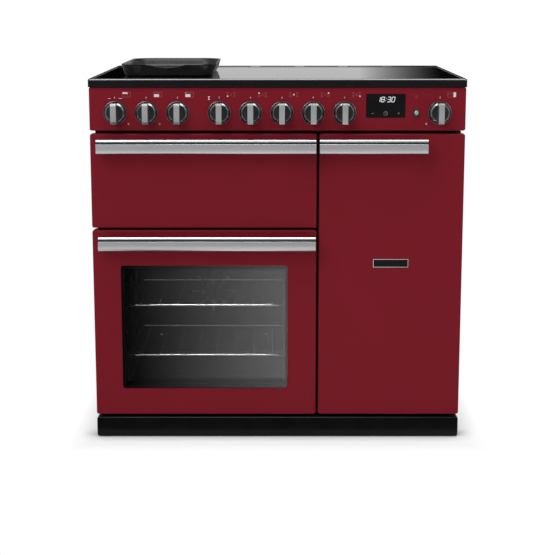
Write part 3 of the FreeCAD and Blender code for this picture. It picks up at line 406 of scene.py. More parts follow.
def window_print(name, colours):
    """Black print round the window; it thins out to dots towards the clear middle."""
    ink = Finish(name)
    x, z = ink.axes("XZ")
    dots = ink.cells(450.0, randomness=0.0)
    left, right, base, head = window_opening()
    aside = (x - (left + right) / 2 - 3 * MM).size()
    along = (z - (base + head) / 2 + 2 * MM).size()
    wide, tall, fade = (right - left) / 2 - 11 * MM, (head - base) / 2 - 12 * MM, 8 * MM
    mask = aside.climb(wide, fade).larger(along.climb(tall, fade))
    tone = ink.blend(dots, (0.002, 0.002, 0.002), (0.004, 0.004, 0.004))
    return ink.surface(Base_Color=tone, Roughness=dots * 0.2 + 0.5, Specular_IOR_Level=0.1,
                       Alpha=(mask * 1.3 - dots * 0.25).clamped())


def hob_glass(name, colours):
    """Black glass ceramic with the faint printed rings of five zones."""
    glass = Finish(name)
    x, y = glass.axes("XY")
    low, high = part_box("hob_glass")
    centre = (low + high) / 2
    tiny = glass.noise(1400.0, detail=1.0)
    smears = glass.noise(6.0, detail=3.0)
    zone, line = 95 * MM, 0.9 * MM
    across = x.size() - 285 * MM
    along = (y - centre.y).size() - 112 * MM
    corner_reach = (across * across + along * along).root()
    middle_reach = (x * x + (y - centre.y) ** 2).root()
    rings = corner_reach.band(zone, line) + middle_reach.band(zone, line)
    ground = glass.blend(tiny, (0.0025, 0.0025, 0.003), (0.007, 0.007, 0.0075))
    colour = glass.blend((rings * 0.8).clamped(), ground, (0.16, 0.16, 0.165))
    return glass.surface(Base_Color=colour, Roughness=smears * 0.035 + 0.025, Specular_IOR_Level=0.5)


def cast_black(name, colours):
    """Cast plate with a dark non-stick coat: sandy grain and slight wear."""
    cast = Finish(name)
    sand = cast.noise(520.0, detail=4.0, roughness=0.6)
    wear = cast.noise(26.0)
    colour = cast.blend(wear, (0.006, 0.006, 0.0065), (0.02, 0.02, 0.021))
    return cast.surface(Base_Color=colour, Roughness=sand * 0.16 + wear * 0.12 + 0.16,
                        Specular_IOR_Level=0.3, Normal=cast.bump(sand, 0.00018, 0.45))


def moulded(name, colour, roughness, grain):
    """Moulded plastic or rubber: spark-eroded grain over a slightly uneven tone."""
    part = Finish(name)
    texture = part.noise(grain, detail=2.0)
    tone = part.noise(25.0)
    shade = part.blend(tone, scaled(colour, 0.8), scaled(colour, 1.2))
    return part.surface(Base_Color=shade, Roughness=texture * 0.2 + roughness,
                        Normal=part.bump(texture, 0.0001, 0.4))


def black_plastic(name, colours):
    return moulded(name, (0.014, 0.014, 0.015), 0.38, 900.0)


def gasket(name, colours):
    return moulded(name, (0.022, 0.021, 0.02), 0.62, 1500.0)


def foot_plastic(name, colours):
    return moulded(name, (0.02, 0.02, 0.021), 0.45, 700.0)


def display(name, colours):
    """Black display glass with faint smears."""
    pane = Finish(name)
    smears = pane.noise(30.0)
    colour = pane.blend(smears, (0.003, 0.003, 0.0035), (0.007, 0.007, 0.008))
    return pane.surface(Base_Color=colour, Roughness=smears * 0.04 + 0.03, Specular_IOR_Level=0.05)


def fibre(name, colours):
    """Glass-wool wrap: matted pale strands."""
    wool = Finish(name)
    strands = wool.noise(160.0, detail=6.0, roughness=0.75, stretch=(1, 1, 5))
    colour = wool.blend(strands, (0.42, 0.38, 0.28), (0.78, 0.74, 0.62))
    return wool.surface(Base_Color=colour, Roughness=0.95, Normal=wool.bump(strands, 0.002, 0.8))


def copper_coil(name, colours):
    """Litz wire wound in rings."""
    wire = Finish(name)
    strands = wire.noise(700.0, detail=3.0)
    colour = wire.blend(strands, (0.45, 0.15, 0.07), (0.86, 0.42, 0.24))
    return wire.surface(Base_Color=colour, Metallic=1.0, Roughness=strands * 0.25 + 0.25,
                        Normal=wire.bump(strands, 0.0003, 0.6))


def board_green(name, colours):
    """Circuit board with paler tracks under its lacquer."""
    board = Finish(name)
    tracks = board.cells(160.0, feature="DISTANCE_TO_EDGE") < 0.06
    colour = board.blend(tracks, (0.01, 0.07, 0.03), (0.05, 0.2, 0.08))
    return board.surface(Base_Color=colour, Roughness=tracks * 0.2 + 0.35)


def element_steel(name, colours):
    """Heating rod, dulled and tinted by heat."""
    rod = Finish(name)
    heat = rod.noise(22.0)
    scale = rod.noise(420.0)
    colour = rod.blend(heat, (0.09, 0.085, 0.085), (0.24, 0.21, 0.19))
    return rod.surface(Base_Color=colour, Metallic=0.8, Roughness=scale * 0.2 + 0.38,
                       Normal=rod.bump(scale, 0.0001, 0.4))


def printed(name, thin, thick, roughness=0.45):
    """Screen-printed ink between the colours of its thin and thick places."""
    ink = Finish(name)
    grain = ink.noise(2500.0)
    return ink.surface(Base_Color=ink.blend(grain, thin, thick), Roughness=grain * 0.2 + roughness)


def print_white(name, colours):
    return printed(name, (0.52, 0.48, 0.47), (0.72, 0.68, 0.67))


def print_faint(name, colours):
    return printed(name, (0.26, 0.10, 0.11), (0.36, 0.16, 0.17))


def touch_print(name, colours):
    return printed(name, (0.12, 0.12, 0.12), (0.2, 0.2, 0.2), 0.4)


def lit_segment(name, colours):
    """Lit strokes of the clock."""
    lamp = Finish(name)
    glow = lamp.noise(400.0)
    colour = lamp.blend(glow, (0.82, 0.86, 0.9), (0.95, 0.97, 1.0))
    return lamp.surface(Base_Color=rgba((0.02, 0.02, 0.02)), Roughness=0.4, Emission_Color=colour,
                        Emission_Strength=1.0)


RECIPES = {recipe.__name__: recipe for recipe in (
    door_enamel, black_enamel, trim_enamel, strip_enamel, black_sheet, galvanised, rear_sheet,
    handle_steel, knob_bar_steel, knob_metal, knob_face, dark_chrome, chrome_wire, bright_trim,
    cavity_enamel, window_glass, window_print, hob_glass, cast_black, black_plastic, gasket,
    foot_plastic, display, fibre, copper_coil, board_green, element_steel, print_white,
    print_faint, touch_print, lit_segment)}

SLOT_FINISHES = {
    "red_enamel": "door_enamel", "black_enamel": "black_enamel", "black_sheet": "black_sheet",
    "galvanised": "galvanised", "handle_steel": "handle_steel", "chrome_wire": "chrome_wire",
    "cavity_enamel": "cavity_enamel", "dark_glass": "window_glass", "hob_glass": "hob_glass",
    "knob_metal": "knob_metal", "cast_black": "cast_black", "black_plastic": "black_plastic",
    "display": "display", "gasket": "gasket", "fibre": "fibre", "copper_coil": "copper_coil",
    "board_green": "board_green", "element_steel": "element_steel", "foot_plastic": "foot_plastic",
}

NODE_FINISHES = {
    "hob_trim": "trim_enamel", "vent_strip": "strip_enamel", "door_hinges": "black_enamel",
    "rear_panel": "rear_sheet", "main_fan_wheel": "element_steel", "tall_fan_wheel": "element_steel",
}


# Places taken from the frame

WINDOW_SIDES = (66.7 * MM, 472.5 * MM)
WINDOW_HEIGHTS = (65.8 * MM, 375.5 * MM)


def window_opening():
    """Left, right, bottom and top of the window, from the lower left corner of the main door."""
    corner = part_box("main_door_panel")[0]
    return *(corner.x + side for side in WINDOW_SIDES), *(corner.z + height for height in WINDOW_HEIGHTS)


def door_face():
    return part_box("main_door_panel")[0].y


def knob_names():
    return sorted(name for name in frame["nodes"] if name.startswith("knob_"))


def front_centre(name):
    """x and z of a node's middle, as seen from the front."""
    low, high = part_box(name)
    return (low.x + high.x) / 2, (low.z + high.z) / 2


# Mesh makers

def make_piece(name, bm, finishes, body, smooth=35.0):
    """Turns a bmesh into a piece that rides on a body."""
    mesh = bpy.data.meshes.new(name)
    bmesh.ops.recalc_face_normals(bm, faces=bm.faces[:])
    bm.to_mesh(mesh)
    bm.free()
    for polygon in mesh.polygons:
        polygon.use_smooth = True
    mesh.set_sharp_from_angle(angle=math.radians(smooth))
    for entry in finishes:
        mesh.materials.append(finish(entry))
    piece = bpy.data.objects.new(name, mesh)
    bpy.context.scene.collection.objects.link(piece)
    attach(piece, body)
    return piece


def soften(piece, width, weld=False):
    """Rounds a piece's hard edges with a modifier, after welding split corners where asked."""
    if weld:
        merge = piece.modifiers.new("merge", "WELD")
        merge.merge_threshold = 0.00001
    bevel = piece.modifiers.new("rounded_edges", "BEVEL")
    bevel.width = width
    bevel.segments = 2
    bevel.limit_method = "ANGLE"
    bevel.angle_limit = math.radians(40)
    bevel.harden_normals = False


def add_block(bm, low, high, material=0):
    made = bmesh.ops.create_cube(bm, size=1.0)
    centre = (Vector(low) + Vector(high)) / 2
    span = Vector(high) - Vector(low)
    for vertex in made["verts"]:
        vertex.co = centre + Vector(a * b for a, b in zip(vertex.co, span))
    for face in {face for vertex in made["verts"] for face in vertex.link_faces}:
        face.material_index = material


def add_prism(bm, outline, offset, material=0):
    """Prism over a flat outline of points."""
    base = [bm.verts.new(point) for point in outline]
    top = [bm.verts.new(Vector(point) + offset) for point in outline]
    count = len(base)
    faces = [bm.faces.new(base), bm.faces.new(top[::-1])]
    for index in range(count):
        following = (index + 1) % count
        faces.append(bm.faces.new((base[index], top[index], top[following], base[following])))
    for face in faces:
        face.material_index = material


def add_turned(bm, profile, x, z, steps, materials, closed=False):
    """Body turned about the Y axis through (x, z); profile holds (radius, y)."""
    rings = []
    for radius, y in profile:
        if radius == 0:
            rings.append([bm.verts.new((x, y, z))] * steps)
            continue
        ring = []
        for step in range(steps):
            angle = 2 * math.pi * step / steps
            ring.append(bm.verts.new((x + radius * math.cos(angle), y, z + radius * math.sin(angle))))
        rings.append(ring)
    pairs = list(zip(rings, rings[1:]))
    if closed:
        pairs.append((rings[-1], rings[0]))
    for index, (first, second) in enumerate(pairs):
        for step in range(steps):
            following = (step + 1) % steps
            corners = dict.fromkeys((first[step], first[following], second[following], second[step]))
            bm.faces.new(list(corners)).material_index = materials[index]


def rounded_corners(points, radius, steps, closed):
    """Path through the points with each corner turned on an arc-like curve."""
    path = []
    count = len(points)
    for index, point in enumerate(points):
        here = Vector(point)
        if not closed and index in (0, count - 1):
            path.append(here)
            continue
        before = here + (Vector(points[index - 1]) - here).normalized() * radius
        after = here + (Vector(points[(index + 1) % count]) - here).normalized() * radius
        for step in range(steps + 1):
            share = step / steps
            path.append(before.lerp(here, share).lerp(here.lerp(after, share), share))
    return path


def add_rod(bm, path, radius, sides=10, closed=False):
    """Round wire along a path, with flat ends when it is open."""
    count = len(path)
    rings = []
    up = Vector((0, 0, 1))
    for index, point in enumerate(path):
        before = path[index - 1] if closed or index else point
        after = path[(index + 1) % count] if closed or index < count - 1 else point
        heading = (after - before).normalized()
        side = heading.cross(up)
        if side.length < 0.1:
            side = heading.cross(Vector((0, 1, 0)))
        side.normalize()
        lift = side.cross(heading)
        ring = []
        for step in range(sides):
            angle = 2 * math.pi * step / sides
            ring.append(bm.verts.new(point + (side * math.cos(angle) + lift * math.sin(angle)) * radius))
        rings.append(ring)
    pairs = list(zip(rings, rings[1:]))
    if closed:
        pairs.append((rings[-1], rings[0]))
    for first, second in pairs:
        for step in range(sides):
            following = (step + 1) % sides
            bm.faces.new((first[step], first[following], second[following], second[step]))
    if not closed:
        bm.faces.new(rings[0])
        bm.faces.new(rings[-1][::-1])


def rounded_loop(x0, x1, y0, y1, z, corner, steps, lift=None):
    """Level outline of a rectangle with round corners; lift(x, y) raises its points."""
    loop = []
    for x, y, quarter in ((x1, y1, 0), (x0, y1, 1), (x0, y0, 2), (x1, y0, 3)):
        centre_x = x - corner if x == x1 else x + corner
        centre_y = y - corner if y == y1 else y + corner
        for step in range(steps + 1):
            angle = math.pi / 2 * (quarter + step / steps)
            loop.append(Vector((centre_x + corner * math.cos(angle),
                                centre_y + corner * math.sin(angle), z)))
    dense = []
    longest = 6 * MM
    for index, point in enumerate(loop):
        following = loop[(index + 1) % len(loop)]
        parts = max(1, int((following - point).length / longest))
        dense.extend(point.lerp(following, part / parts) for part in range(parts))
    if lift:
        for point in dense:
            point.z += lift(point.x, point.y)
    return dense


# Symbols printed on the panel and lit in the display

class Sign:
    """Thin shapes on a plane that faces the front, in millimetres about a centre."""

    thickness = 0.1 * MM

    def __init__(self, y):
        self.bm = bmesh.new()
        self.y = y
        self.centre = Vector((0, 0))

    def at(self, x, z):
        self.centre = Vector((x, z))
        return self

    def shape(self, points):
        outline = [(self.centre.x + x * MM, self.y, self.centre.y + z * MM) for x, z in points]
        add_prism(self.bm, outline, Vector((0, -self.thickness, 0)))
        return self

    def bar(self, x, z, width, height, lean=0.0):
        low, high = z - height / 2, z + height / 2
        left, right = x - width / 2, x + width / 2
        return self.shape([(left + lean * low, low), (right + lean * low, low),
                           (right + lean * high, high), (left + lean * high, high)])

    def frame(self, x, z, width, height, line):
        for side in (-1, 1):
            self.bar(x + side * (width - line) / 2, z, line, height)
            self.bar(x, z + side * (height - line) / 2, width - 2 * line, line)
        return self

    def arc(self, x, z, radius, line, start=0.0, turn=360.0, steps=24):
        """Part of a ring, made of short straight bars."""
        for step in range(steps):
            first = math.radians(start + turn * step / steps)
            last = math.radians(start + turn * (step + 1) / steps)
            inner, outer = radius - line / 2, radius + line / 2
            self.shape([(x + inner * math.cos(first), z + inner * math.sin(first)),
                        (x + outer * math.cos(first), z + outer * math.sin(first)),
                        (x + outer * math.cos(last), z + outer * math.sin(last)),
                        (x + inner * math.cos(last), z + inner * math.sin(last))])
        return self

    def disc(self, x, z, radius, steps=16):
        angles = [2 * math.pi * step / steps for step in range(steps)]
        return self.shape([(x + radius * math.cos(a), z + radius * math.sin(a)) for a in angles])


SEGMENTS = {"0": "abcdef", "1": "bc", "3": "abcdg", "8": "abcdefg"}


def draw_digit(sign, symbol, x, width, height, line, lean):
    """Seven-segment digit leaning to the right."""
    half = height / 2
    places = {
        "a": (0, half, width, line), "g": (0, 0, width, line), "d": (0, -half, width, line),
        "b": (width / 2, half / 2, line, half), "c": (width / 2, -half / 2, line, half),
        "f": (-width / 2, half / 2, line, half), "e": (-width / 2, -half / 2, line, half),
    }
    for segment in SEGMENTS[symbol]:
        dx, dz, across, tall = places[segment]
        trim = 0.35 * line
        if across > tall:
            across -= trim
        else:
            tall -= trim
        sign.bar(x + dx, dz, across, tall, lean)


# What a user would change

class CookerSizes(bpy.types.PropertyGroup):
    """Sizes of the pieces that are added over the frame."""

    edge: FloatProperty(name="Sheet edge", description="Rounding of pressed sheet edges",
                        default=0.0007, unit="LENGTH")
    bezel_radius: FloatProperty(name="Bezel radius", description="Outer radius of a knob's bezel",
                                default=0.0277, unit="LENGTH")
    bezel_height: FloatProperty(name="Bezel height", description="How far a bezel stands out",
                                default=0.0036, unit="LENGTH")
    grip_width: FloatProperty(name="Grip width", description="Width of a knob's bar",
                              default=0.0135, unit="LENGTH")
    skirt_height: FloatProperty(name="Skirt height", description="Depth of a knob's round skirt",
                                default=0.011, unit="LENGTH")
    bar_depth: FloatProperty(name="Handle depth", description="Depth of a handle's bar",
                             default=0.016, unit="LENGTH")
    bar_foot: FloatProperty(name="Handle foot", description="Width of a handle's foot",
                            default=0.018, unit="LENGTH")
    wire: FloatProperty(name="Frame wire", description="Radius of a rack's frame wire",
                        default=0.003, unit="LENGTH")
    rod: FloatProperty(name="Cross wire", description="Radius of a rack's cross wires",
                       default=0.002, unit="LENGTH")
    rod_pitch: FloatProperty(name="Wire pitch", description="Distance between cross wires",
                             default=0.0466, unit="LENGTH")
    plate_width: FloatProperty(name="Plate width", description="Width of the bare plate",
                               default=0.085, unit="LENGTH")
    plate_height: FloatProperty(name="Plate height", description="Height of the bare plate",
                                default=0.020, unit="LENGTH")
    round_steps: IntProperty(name="Round steps", description="Steps round a turned piece",
                             default=64, min=16, max=128)


class CookerColours(bpy.types.PropertyGroup):
    """Colours that a user would change."""

    door: FloatVectorProperty(name="Door enamel", description="Colour of the doors and the panel",
                              default=(0.158, 0.0078, 0.0152), subtype="COLOR", min=0, max=1)
    steel: FloatVectorProperty(name="Steel", description="Colour of the brushed metal",
                               default=(0.56, 0.56, 0.57), subtype="COLOR", min=0, max=1)
    floor: FloatVectorProperty(name="Floor", description="Colour of the floor",
                               default=(0.82, 0.82, 0.82), subtype="COLOR", min=0, max=1)


class CookerStudio(bpy.types.PropertyGroup):
    """Camera and lamps."""

    distance: FloatProperty(name="Distance", description="Camera to door front",
                            default=3.10, unit="LENGTH")
    eye_height: FloatProperty(name="Eye height", description="Camera above the floor",
                              default=1.0785, unit="LENGTH")
    tilt: FloatProperty(name="Tilt", description="Camera's tilt below level",
                        default=math.radians(10.30), subtype="ANGLE")
    lens: FloatProperty(name="Lens", description="Focal length in millimetres", default=84.5)
    shift: FloatProperty(name="Shift", description="Vertical lens shift", default=-0.08)
    key: FloatProperty(name="Key lamp", description="Power of the key lamp in watts", default=70.0)
    overhead: FloatProperty(name="Overhead lamp", description="Power of the overhead lamp in watts",
                            default=55.0)
    fill: FloatProperty(name="Fill lamp", description="Power of the fill lamp in watts", default=22.0)
    room: FloatProperty(name="Room", description="Strength of the room's light", default=0.34)
    sheen: FloatProperty(name="Sheen", description="How much brighter metal sees the room", default=0.2)
    oven: FloatProperty(name="Oven lamp", description="Power of the lamp in the main oven in watts",
                        default=0.07)


# Steps that dress the cooker and light it

PRESSED_NODES = ("main_door_panel", "grill_door_panel", "tall_door_panel", "control_panel",
                 "plinth", "hob_trim", "side_panels", "rear_panel", "front_frame")


class COOKER_OT_finishes(bpy.types.Operator):
    """Give every CAD node the finish of its material slot and round its pressed edges."""

    bl_idname = "cooker.finishes"
    bl_label = "Finishes"

    def execute(self, context):
        slots = {entry["node"]: entry["material_slot"] for entry in frame["record"]["subparts"]}
        for name, node in frame["nodes"].items():
            node.data.materials.clear()
            node.data.materials.append(finish(NODE_FINISHES.get(name) or SLOT_FINISHES[slots[name]]))
        for name in PRESSED_NODES:
            soften(frame["nodes"][name], context.scene.cooker_sizes.edge, weld=True)
        return {"FINISHED"}


class COOKER_OT_knobs(bpy.types.Operator):
    """Turn the nine knobs with their bar grips, and the bezel round each."""

    bl_idname = "cooker.knobs"
    bl_label = "Knobs"

    def execute(self, context):
        sizes = context.scene.cooker_sizes
        for name in knob_names():
            self.knob(sizes, name)
            self.bezel(sizes, name)
        return {"FINISHED"}

    def knob(self, sizes, name):
        low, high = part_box(name)
        x, z = front_centre(name)
        base = door_face() - 0.8 * MM
        crown = base - sizes.skirt_height
        radius = (high.x - low.x) / 2
        bm = bmesh.new()
        profile = [(0, base), (radius - 0.6 * MM, base), (radius, base - 0.6 * MM)]
        profile += [(radius - inset * MM, crown + drop * MM) for inset, drop in
                    ((0, 4.4), (0.4, 3.8), (3.8, 0.4), (4.4, 0), (4.9, 0.3))]
        profile.append((0, crown + 0.3 * MM))
        add_turned(bm, profile, x, z, sizes.round_steps, (0, 0, 1, 3, 3, 3, 1, 1))
        half = sizes.grip_width / 2
        foot, nose = z - low.z, z - low.z - 6.5 * MM
        front = low.y
        side = [(crown + 1.5 * MM, foot), (front + 3.2 * MM, foot),
                (front + 2.2 * MM, foot - 0.5 * MM), (front + 0.3 * MM, nose + 1.5 * MM), (front, nose)]
        outline = [(x - half, y, z + rise) for y, rise in side]
        outline += [(x - half, y, z - rise) for y, rise in side[::-1]]
        add_prism(bm, outline, Vector((sizes.grip_width, 0, 0)), material=2)
        finishes = ("knob_metal", "knob_face", "knob_bar_steel", "dark_chrome")
        piece = make_piece(name + "_turned", bm, finishes, name)
        soften(piece, 0.7 * MM)
        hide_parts(name)

    def bezel(self, sizes, name):
        low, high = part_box(name)
        x, z = front_centre(name)
        face = door_face()
        rim = face - sizes.bezel_height
        outer = sizes.bezel_radius
        inner = (high.x - low.x) / 2 + 0.3 * MM
        bm = bmesh.new()
        profile = [(outer, face), (outer, rim + 1.0 * MM), (outer - 0.4 * MM, rim + 0.2 * MM),
                   (outer - 0.9 * MM, rim), (outer - 1.3 * MM, rim + 0.4 * MM),
                   (inner, rim + 1.4 * MM), (inner, face)]
        add_turned(bm, profile, x, z, sizes.round_steps, (1, 0, 0, 0, 1, 1, 1), closed=True)
        make_piece(name + "_bezel", bm, ("dark_chrome", "black_plastic"), "cabinet")


class COOKER_OT_handles(bpy.types.Operator):
    """Draw the three bar handles: a round crown, a groove whose faces take black plastic as painted shade,
    and a slightly curved face.
    """

    bl_idname = "cooker.handles"
    bl_label = "Handles"

    def execute(self, context):
        for door in ("main_door", "grill_door", "tall_door"):
            self.handle(context.scene.cooker_sizes, door)
        return {"FINISHED"}

    def handle(self, sizes, door):
        low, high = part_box(door + "_handle")
        front, back, top = low.y, low.y + sizes.bar_depth, high.z
        crown = ((8.5, 0), (6.4, 0.7), (4.4, 2.4), (3.2, 4.6), (2.8, 6.4))
        groove = ((6.0, 6.8), (6.0, 11.0))
        curve = ((2.4, 11.0), (1.1, 17.0), (0.35, 23.0), (0.05, 28.0))
        profile = [(back, low.z), (back, top)]
        profile += [(front + depth * MM, top - drop * MM) for depth, drop in crown + groove + curve]
        profile += [(front, low.z + 1.0 * MM), (front + 1.0 * MM, low.z)]
        bm = bmesh.new()
        add_prism(bm, [(low.x, y, z) for y, z in profile], Vector((high.x - low.x, 0, 0)))
        # Faces inside the groove take black plastic: a dark sheet standing in for the shade in the groove.
        for face in bm.faces:
            depths = [vertex.co.y - front for vertex in face.verts]
            drops = [top - vertex.co.z for vertex in face.verts]
            if min(depths) > 2.0 * MM and min(drops) > 6.0 * MM and max(drops) < 12.0 * MM:
                face.material_index = 1
        for x in (low.x, high.x - sizes.bar_foot):
            add_block(bm, (x, back - 0.5 * MM, low.z + 4 * MM),
                      (x + sizes.bar_foot, high.y, high.z - 4 * MM))
        piece = make_piece(door + "_bar", bm, ("handle_steel", "black_plastic"), door,
                           smooth=50.0)
        soften(piece, 0.4 * MM)
        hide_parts(door + "_handle")


class COOKER_OT_racks(bpy.types.Operator):
    """Bend the wire racks: a frame with rounded corners and cross wires laid on top."""

    bl_idname = "cooker.racks"
    bl_label = "Racks"

    def execute(self, context):
        for name in ("main_rack_upper", "main_rack_lower", "tall_rack_upper", "tall_rack_lower"):
            self.rack(context.scene.cooker_sizes, name)
        return {"FINISHED"}

    def rack(self, sizes, name):
        low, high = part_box(name)
        wire, rod = sizes.wire, sizes.rod
        z = low.z + wire
        x0, x1 = low.x + wire, high.x - wire
        y0, y1 = low.y + wire, high.y - wire
        bm = bmesh.new()
        corners = [(x0, y0, z), (x1, y0, z), (x1, y1, z), (x0, y1, z)]
        add_rod(bm, rounded_corners(corners, 14 * MM, 6, True), wire, 12, closed=True)
        count = int((x1 - x0) / sizes.rod_pitch)
        first = (x0 + x1 - (count - 1) * sizes.rod_pitch) / 2
        ends = (y0 - 0.5 * MM, y1 + 0.5 * MM)
        for step in range(count):
            x = first + step * sizes.rod_pitch
            add_rod(bm, [Vector((x, y, z + 4.4 * MM)) for y in ends], rod)
        piece = make_piece(name + "_wires", bm, ("chrome_wire",), name, smooth=60.0)
        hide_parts(name)


class COOKER_OT_griddle(bpy.types.Operator):
    """Cast the griddle tray: flared walls, rolled rim, pouring dip and filleted floor."""

    bl_idname = "cooker.griddle"
    bl_label = "Griddle"

    def execute(self, context):
        low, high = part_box("griddle")

        # Inset from the box, height over the glass and corner radius of each loop, in millimetres
        stations = [(17.0, 0.0, 34), (13.5, 0.5, 37), (10.6, 2.4, 40), (8.4, 5.6, 43), (5.4, 13.0, 47),
                    (1.6, 25.0, 52), (0.4, 27.6, 54), (0.3, 28.6, 54), (1.2, 29.0, 53), (3.6, 28.6, 51),
                    (4.6, 27.4, 50), (8.6, 15.0, 46), (11.4, 9.0, 43), (15.0, 6.6, 40), (20.0, 6.0, 35)]
        highest = max(rise for inset, rise, corner in stations)
        bm = bmesh.new()
        loops = []
        for inset, rise, corner in stations:
            share = rise / highest
            loops.append(rounded_loop(low.x + inset * MM, high.x - inset * MM, low.y + inset * MM,
                                      high.y - inset * MM, low.z + share * (high.z - low.z),
                                      corner * MM, 7, self.pouring_dip(low, high, share ** 3)))
        length = min(len(loop) for loop in loops)
        rings = [[bm.verts.new(loop[int(index * len(loop) / length)]) for index in range(length)]
                 for loop in loops]
        for first, second in zip(rings, rings[1:]):
            for index in range(length):
                following = (index + 1) % length
                bm.faces.new((first[index], first[following], second[following], second[index]))
        bm.faces.new(rings[0][::-1])
        bm.faces.new(rings[-1])
        piece = make_piece("griddle_tray", bm, ("cast_black",), "griddle", smooth=50.0)
        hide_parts("griddle")
        return {"FINISHED"}

    def pouring_dip(self, low, high, share):
        """How far the front wall sinks at (x, y), for a loop that takes that share of the dip."""
        middle, half_width = (low.x + high.x) / 2, 47.5 * MM
        deepest, reach = 8.5 * MM, 20 * MM

        def lift(x, y):
            along = (x - middle) / half_width
            front = max(0.0, 1 - abs(y - low.y) / reach)
            return -share * front * deepest * max(0.0, 1 - along * along) ** 1.5

        return lift


class COOKER_OT_display(bpy.types.Operator):
    """Light the clock's digits and print the touch marks behind the display glass."""

    bl_idname = "cooker.display"
    bl_label = "Display"

    def execute(self, context):
        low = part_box("display_module")[0]
        centre_x = front_centre("display_module")[0]
        line, lean = 1.3, 0.2
        digits = Sign(low.y).at(centre_x + 1.2 * MM, low.z + 47.0 * MM)
        for symbol, x in (("1", -18.0), ("8", -8.2), ("3", 6.6), ("0", 16.4)):
            draw_digit(digits, symbol, x, 6.6, 11.6, line, lean)
        for z in (-2.6, 2.6):
            digits.bar(-0.8 + lean * z, z, line, line, lean)
        make_piece("display_digits", digits.bm, ("lit_segment",), "cabinet")
        marks = Sign(low.y).at(centre_x, low.z + 13.9 * MM)
        marks.bar(-31.0, 0, 5.0, 1.0)
        marks.arc(0, 0, 4.6, 0.9).bar(0, 1.4, 0.9, 3.0).bar(1.2, 0, 2.2, 0.9)
        marks.bar(31.0, 0, 5.0, 1.0).bar(31.0, 0, 1.0, 5.0)
        make_piece("touch_marks", marks.bm, ("touch_print",), "cabinet")
        return {"FINISHED"}


class COOKER_OT_symbols(bpy.types.Operator):
    """Print the plain setting marks above and beside the knobs."""

    bl_idname = "cooker.symbols"
    bl_label = "Panel marks"

    def execute(self, context):
        inked = door_face() - 0.02 * MM
        marks, outlines = Sign(inked), Sign(inked)
        knobs = [front_centre(name) for name in knob_names()]
        for index, (x, z) in enumerate(knobs):
            marks.at(x, z + 36 * MM).bar(0, 0, 1.1, 4.0)
            for layer in (marks, outlines):
                layer.at(x + 28 * MM, z + 43 * MM)
            if index in (0, 1, 2, len(knobs) - 1):
                self.oven_mark(marks, outlines, index)
            else:
                self.zone_mark(marks, outlines, index - 3)
        first_x, knob_z = knobs[0]
        for side in (-1, 1):
            marks.at(first_x + side * 12 * MM, knob_z + 34 * MM)
            marks.bar(0, 0, 5.0, 1.0).bar(side * 4, 0, 1.2, 1.6)
        for index, side in ((0, 1), (1, 1), (len(knobs) - 1, -1)):
            x, z = knobs[index]
            self.star_mark(marks.at(x + side * 31.6 * MM, z - 26.5 * MM))
        x, z = knobs[3]
        self.timer_mark(marks.at(x - 24.4 * MM, z + 35 * MM))
        self.lamp_mark(outlines.at(front_centre("light_button")[0], knob_z + 37 * MM))
        make_piece("panel_marks", marks.bm, ("print_white",), "cabinet")
        make_piece("panel_outlines", outlines.bm, ("print_faint",), "cabinet")
        return {"FINISHED"}

    def oven_mark(self, marks, outlines, index):
        """Outline of the three ovens with one of them filled."""
        outlines.frame(0, 0, 20.0, 12.5, 0.5).bar(3.2, 0, 0.5, 11.0).bar(-3.2, 1.6, 12.0, 0.5)
        fills = {0: (-3.2, 3.9, 11.6, 4.2), 1: (-3.2, -2.2, 11.6, 6.4), 2: (-3.2, -2.2, 11.6, 6.4)}
        x, z, width, height = fills.get(index, (6.6, 0, 5.8, 11.0))
        marks.bar(x, z, width, height)
        if index == 2:
            marks.arc(-8.0, 4.2, 1.1, 0.5, steps=10)

    def zone_mark(self, marks, outlines, zone):
        """Five rings for the zones with one of them filled."""
        places = ((-8.0, -3.6), (-8.0, 3.6), (0.0, 0.0), (8.0, 3.6), (8.0, -3.6))
        for index, (x, z) in enumerate(places):
            outlines.arc(x, z, 2.0, 0.4, steps=12)
            if index == zone:
                marks.disc(x, z, 1.7)

    def star_mark(self, mark):
        """Three strokes crossed as a star."""
        for turn in range(3):
            angle = math.pi * turn / 3
            along = Vector((math.cos(angle), math.sin(angle))) * 2.4
            aside = Vector((-math.sin(angle), math.cos(angle))) * 0.3
            mark.shape([along + aside, aside - along, -along - aside, along - aside])

    def timer_mark(self, mark):
        """Hourglass between two bars."""
        mark.bar(0, 3.6, 5.4, 0.8).bar(0, -3.6, 5.4, 0.8)
        mark.shape([(-2.2, 3.2), (2.2, 3.2), (0.3, 0.0), (-0.3, 0.0)])
        mark.shape([(-0.3, 0.0), (0.3, 0.0), (2.2, -3.2), (-2.2, -3.2)])

    def lamp_mark(self, mark):
        """Bulb that is open at its base, over two short bars."""
        mark.arc(0, 1.0, 2.4, 0.5, start=-50, turn=280, steps=14)
        mark.bar(0, -2.2, 2.0, 0.5).bar(0, -3.2, 1.4, 0.5)


class COOKER_OT_plate(bpy.types.Operator):
    """Fix the bare plate with its raised frame to the tall door."""

    bl_idname = "cooker.plate"
    bl_label = "Bare plate"

    def execute(self, context):
        sizes = context.scene.cooker_sizes
        low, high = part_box("tall_door_panel")
        x, z = (low.x + high.x) / 2 + 0.7 * MM, low.z + 381.5 * MM
        half, rise = sizes.plate_width / 2, sizes.plate_height / 2
        face = low.y
        field, frame_front, line = face - 0.6 * MM, face - 1.2 * MM, 1.0 * MM
        bm = bmesh.new()
        add_block(bm, (x - half + line, field, z - rise + line), (x + half - line, face, z + rise - line), 1)
        for side in (-1, 1):
            edge = z + side * (rise - line / 2)
            add_block(bm, (x - half, frame_front, edge - line / 2), (x + half, face, edge + line / 2))
            edge = x + side * (half - line / 2)
            add_block(bm, (edge - line / 2, frame_front, z - rise + line),
                      (edge + line / 2, face, z + rise - line))
        make_piece("bare_plate", bm, ("bright_trim", "black_enamel"), "tall_door")
        return {"FINISHED"}


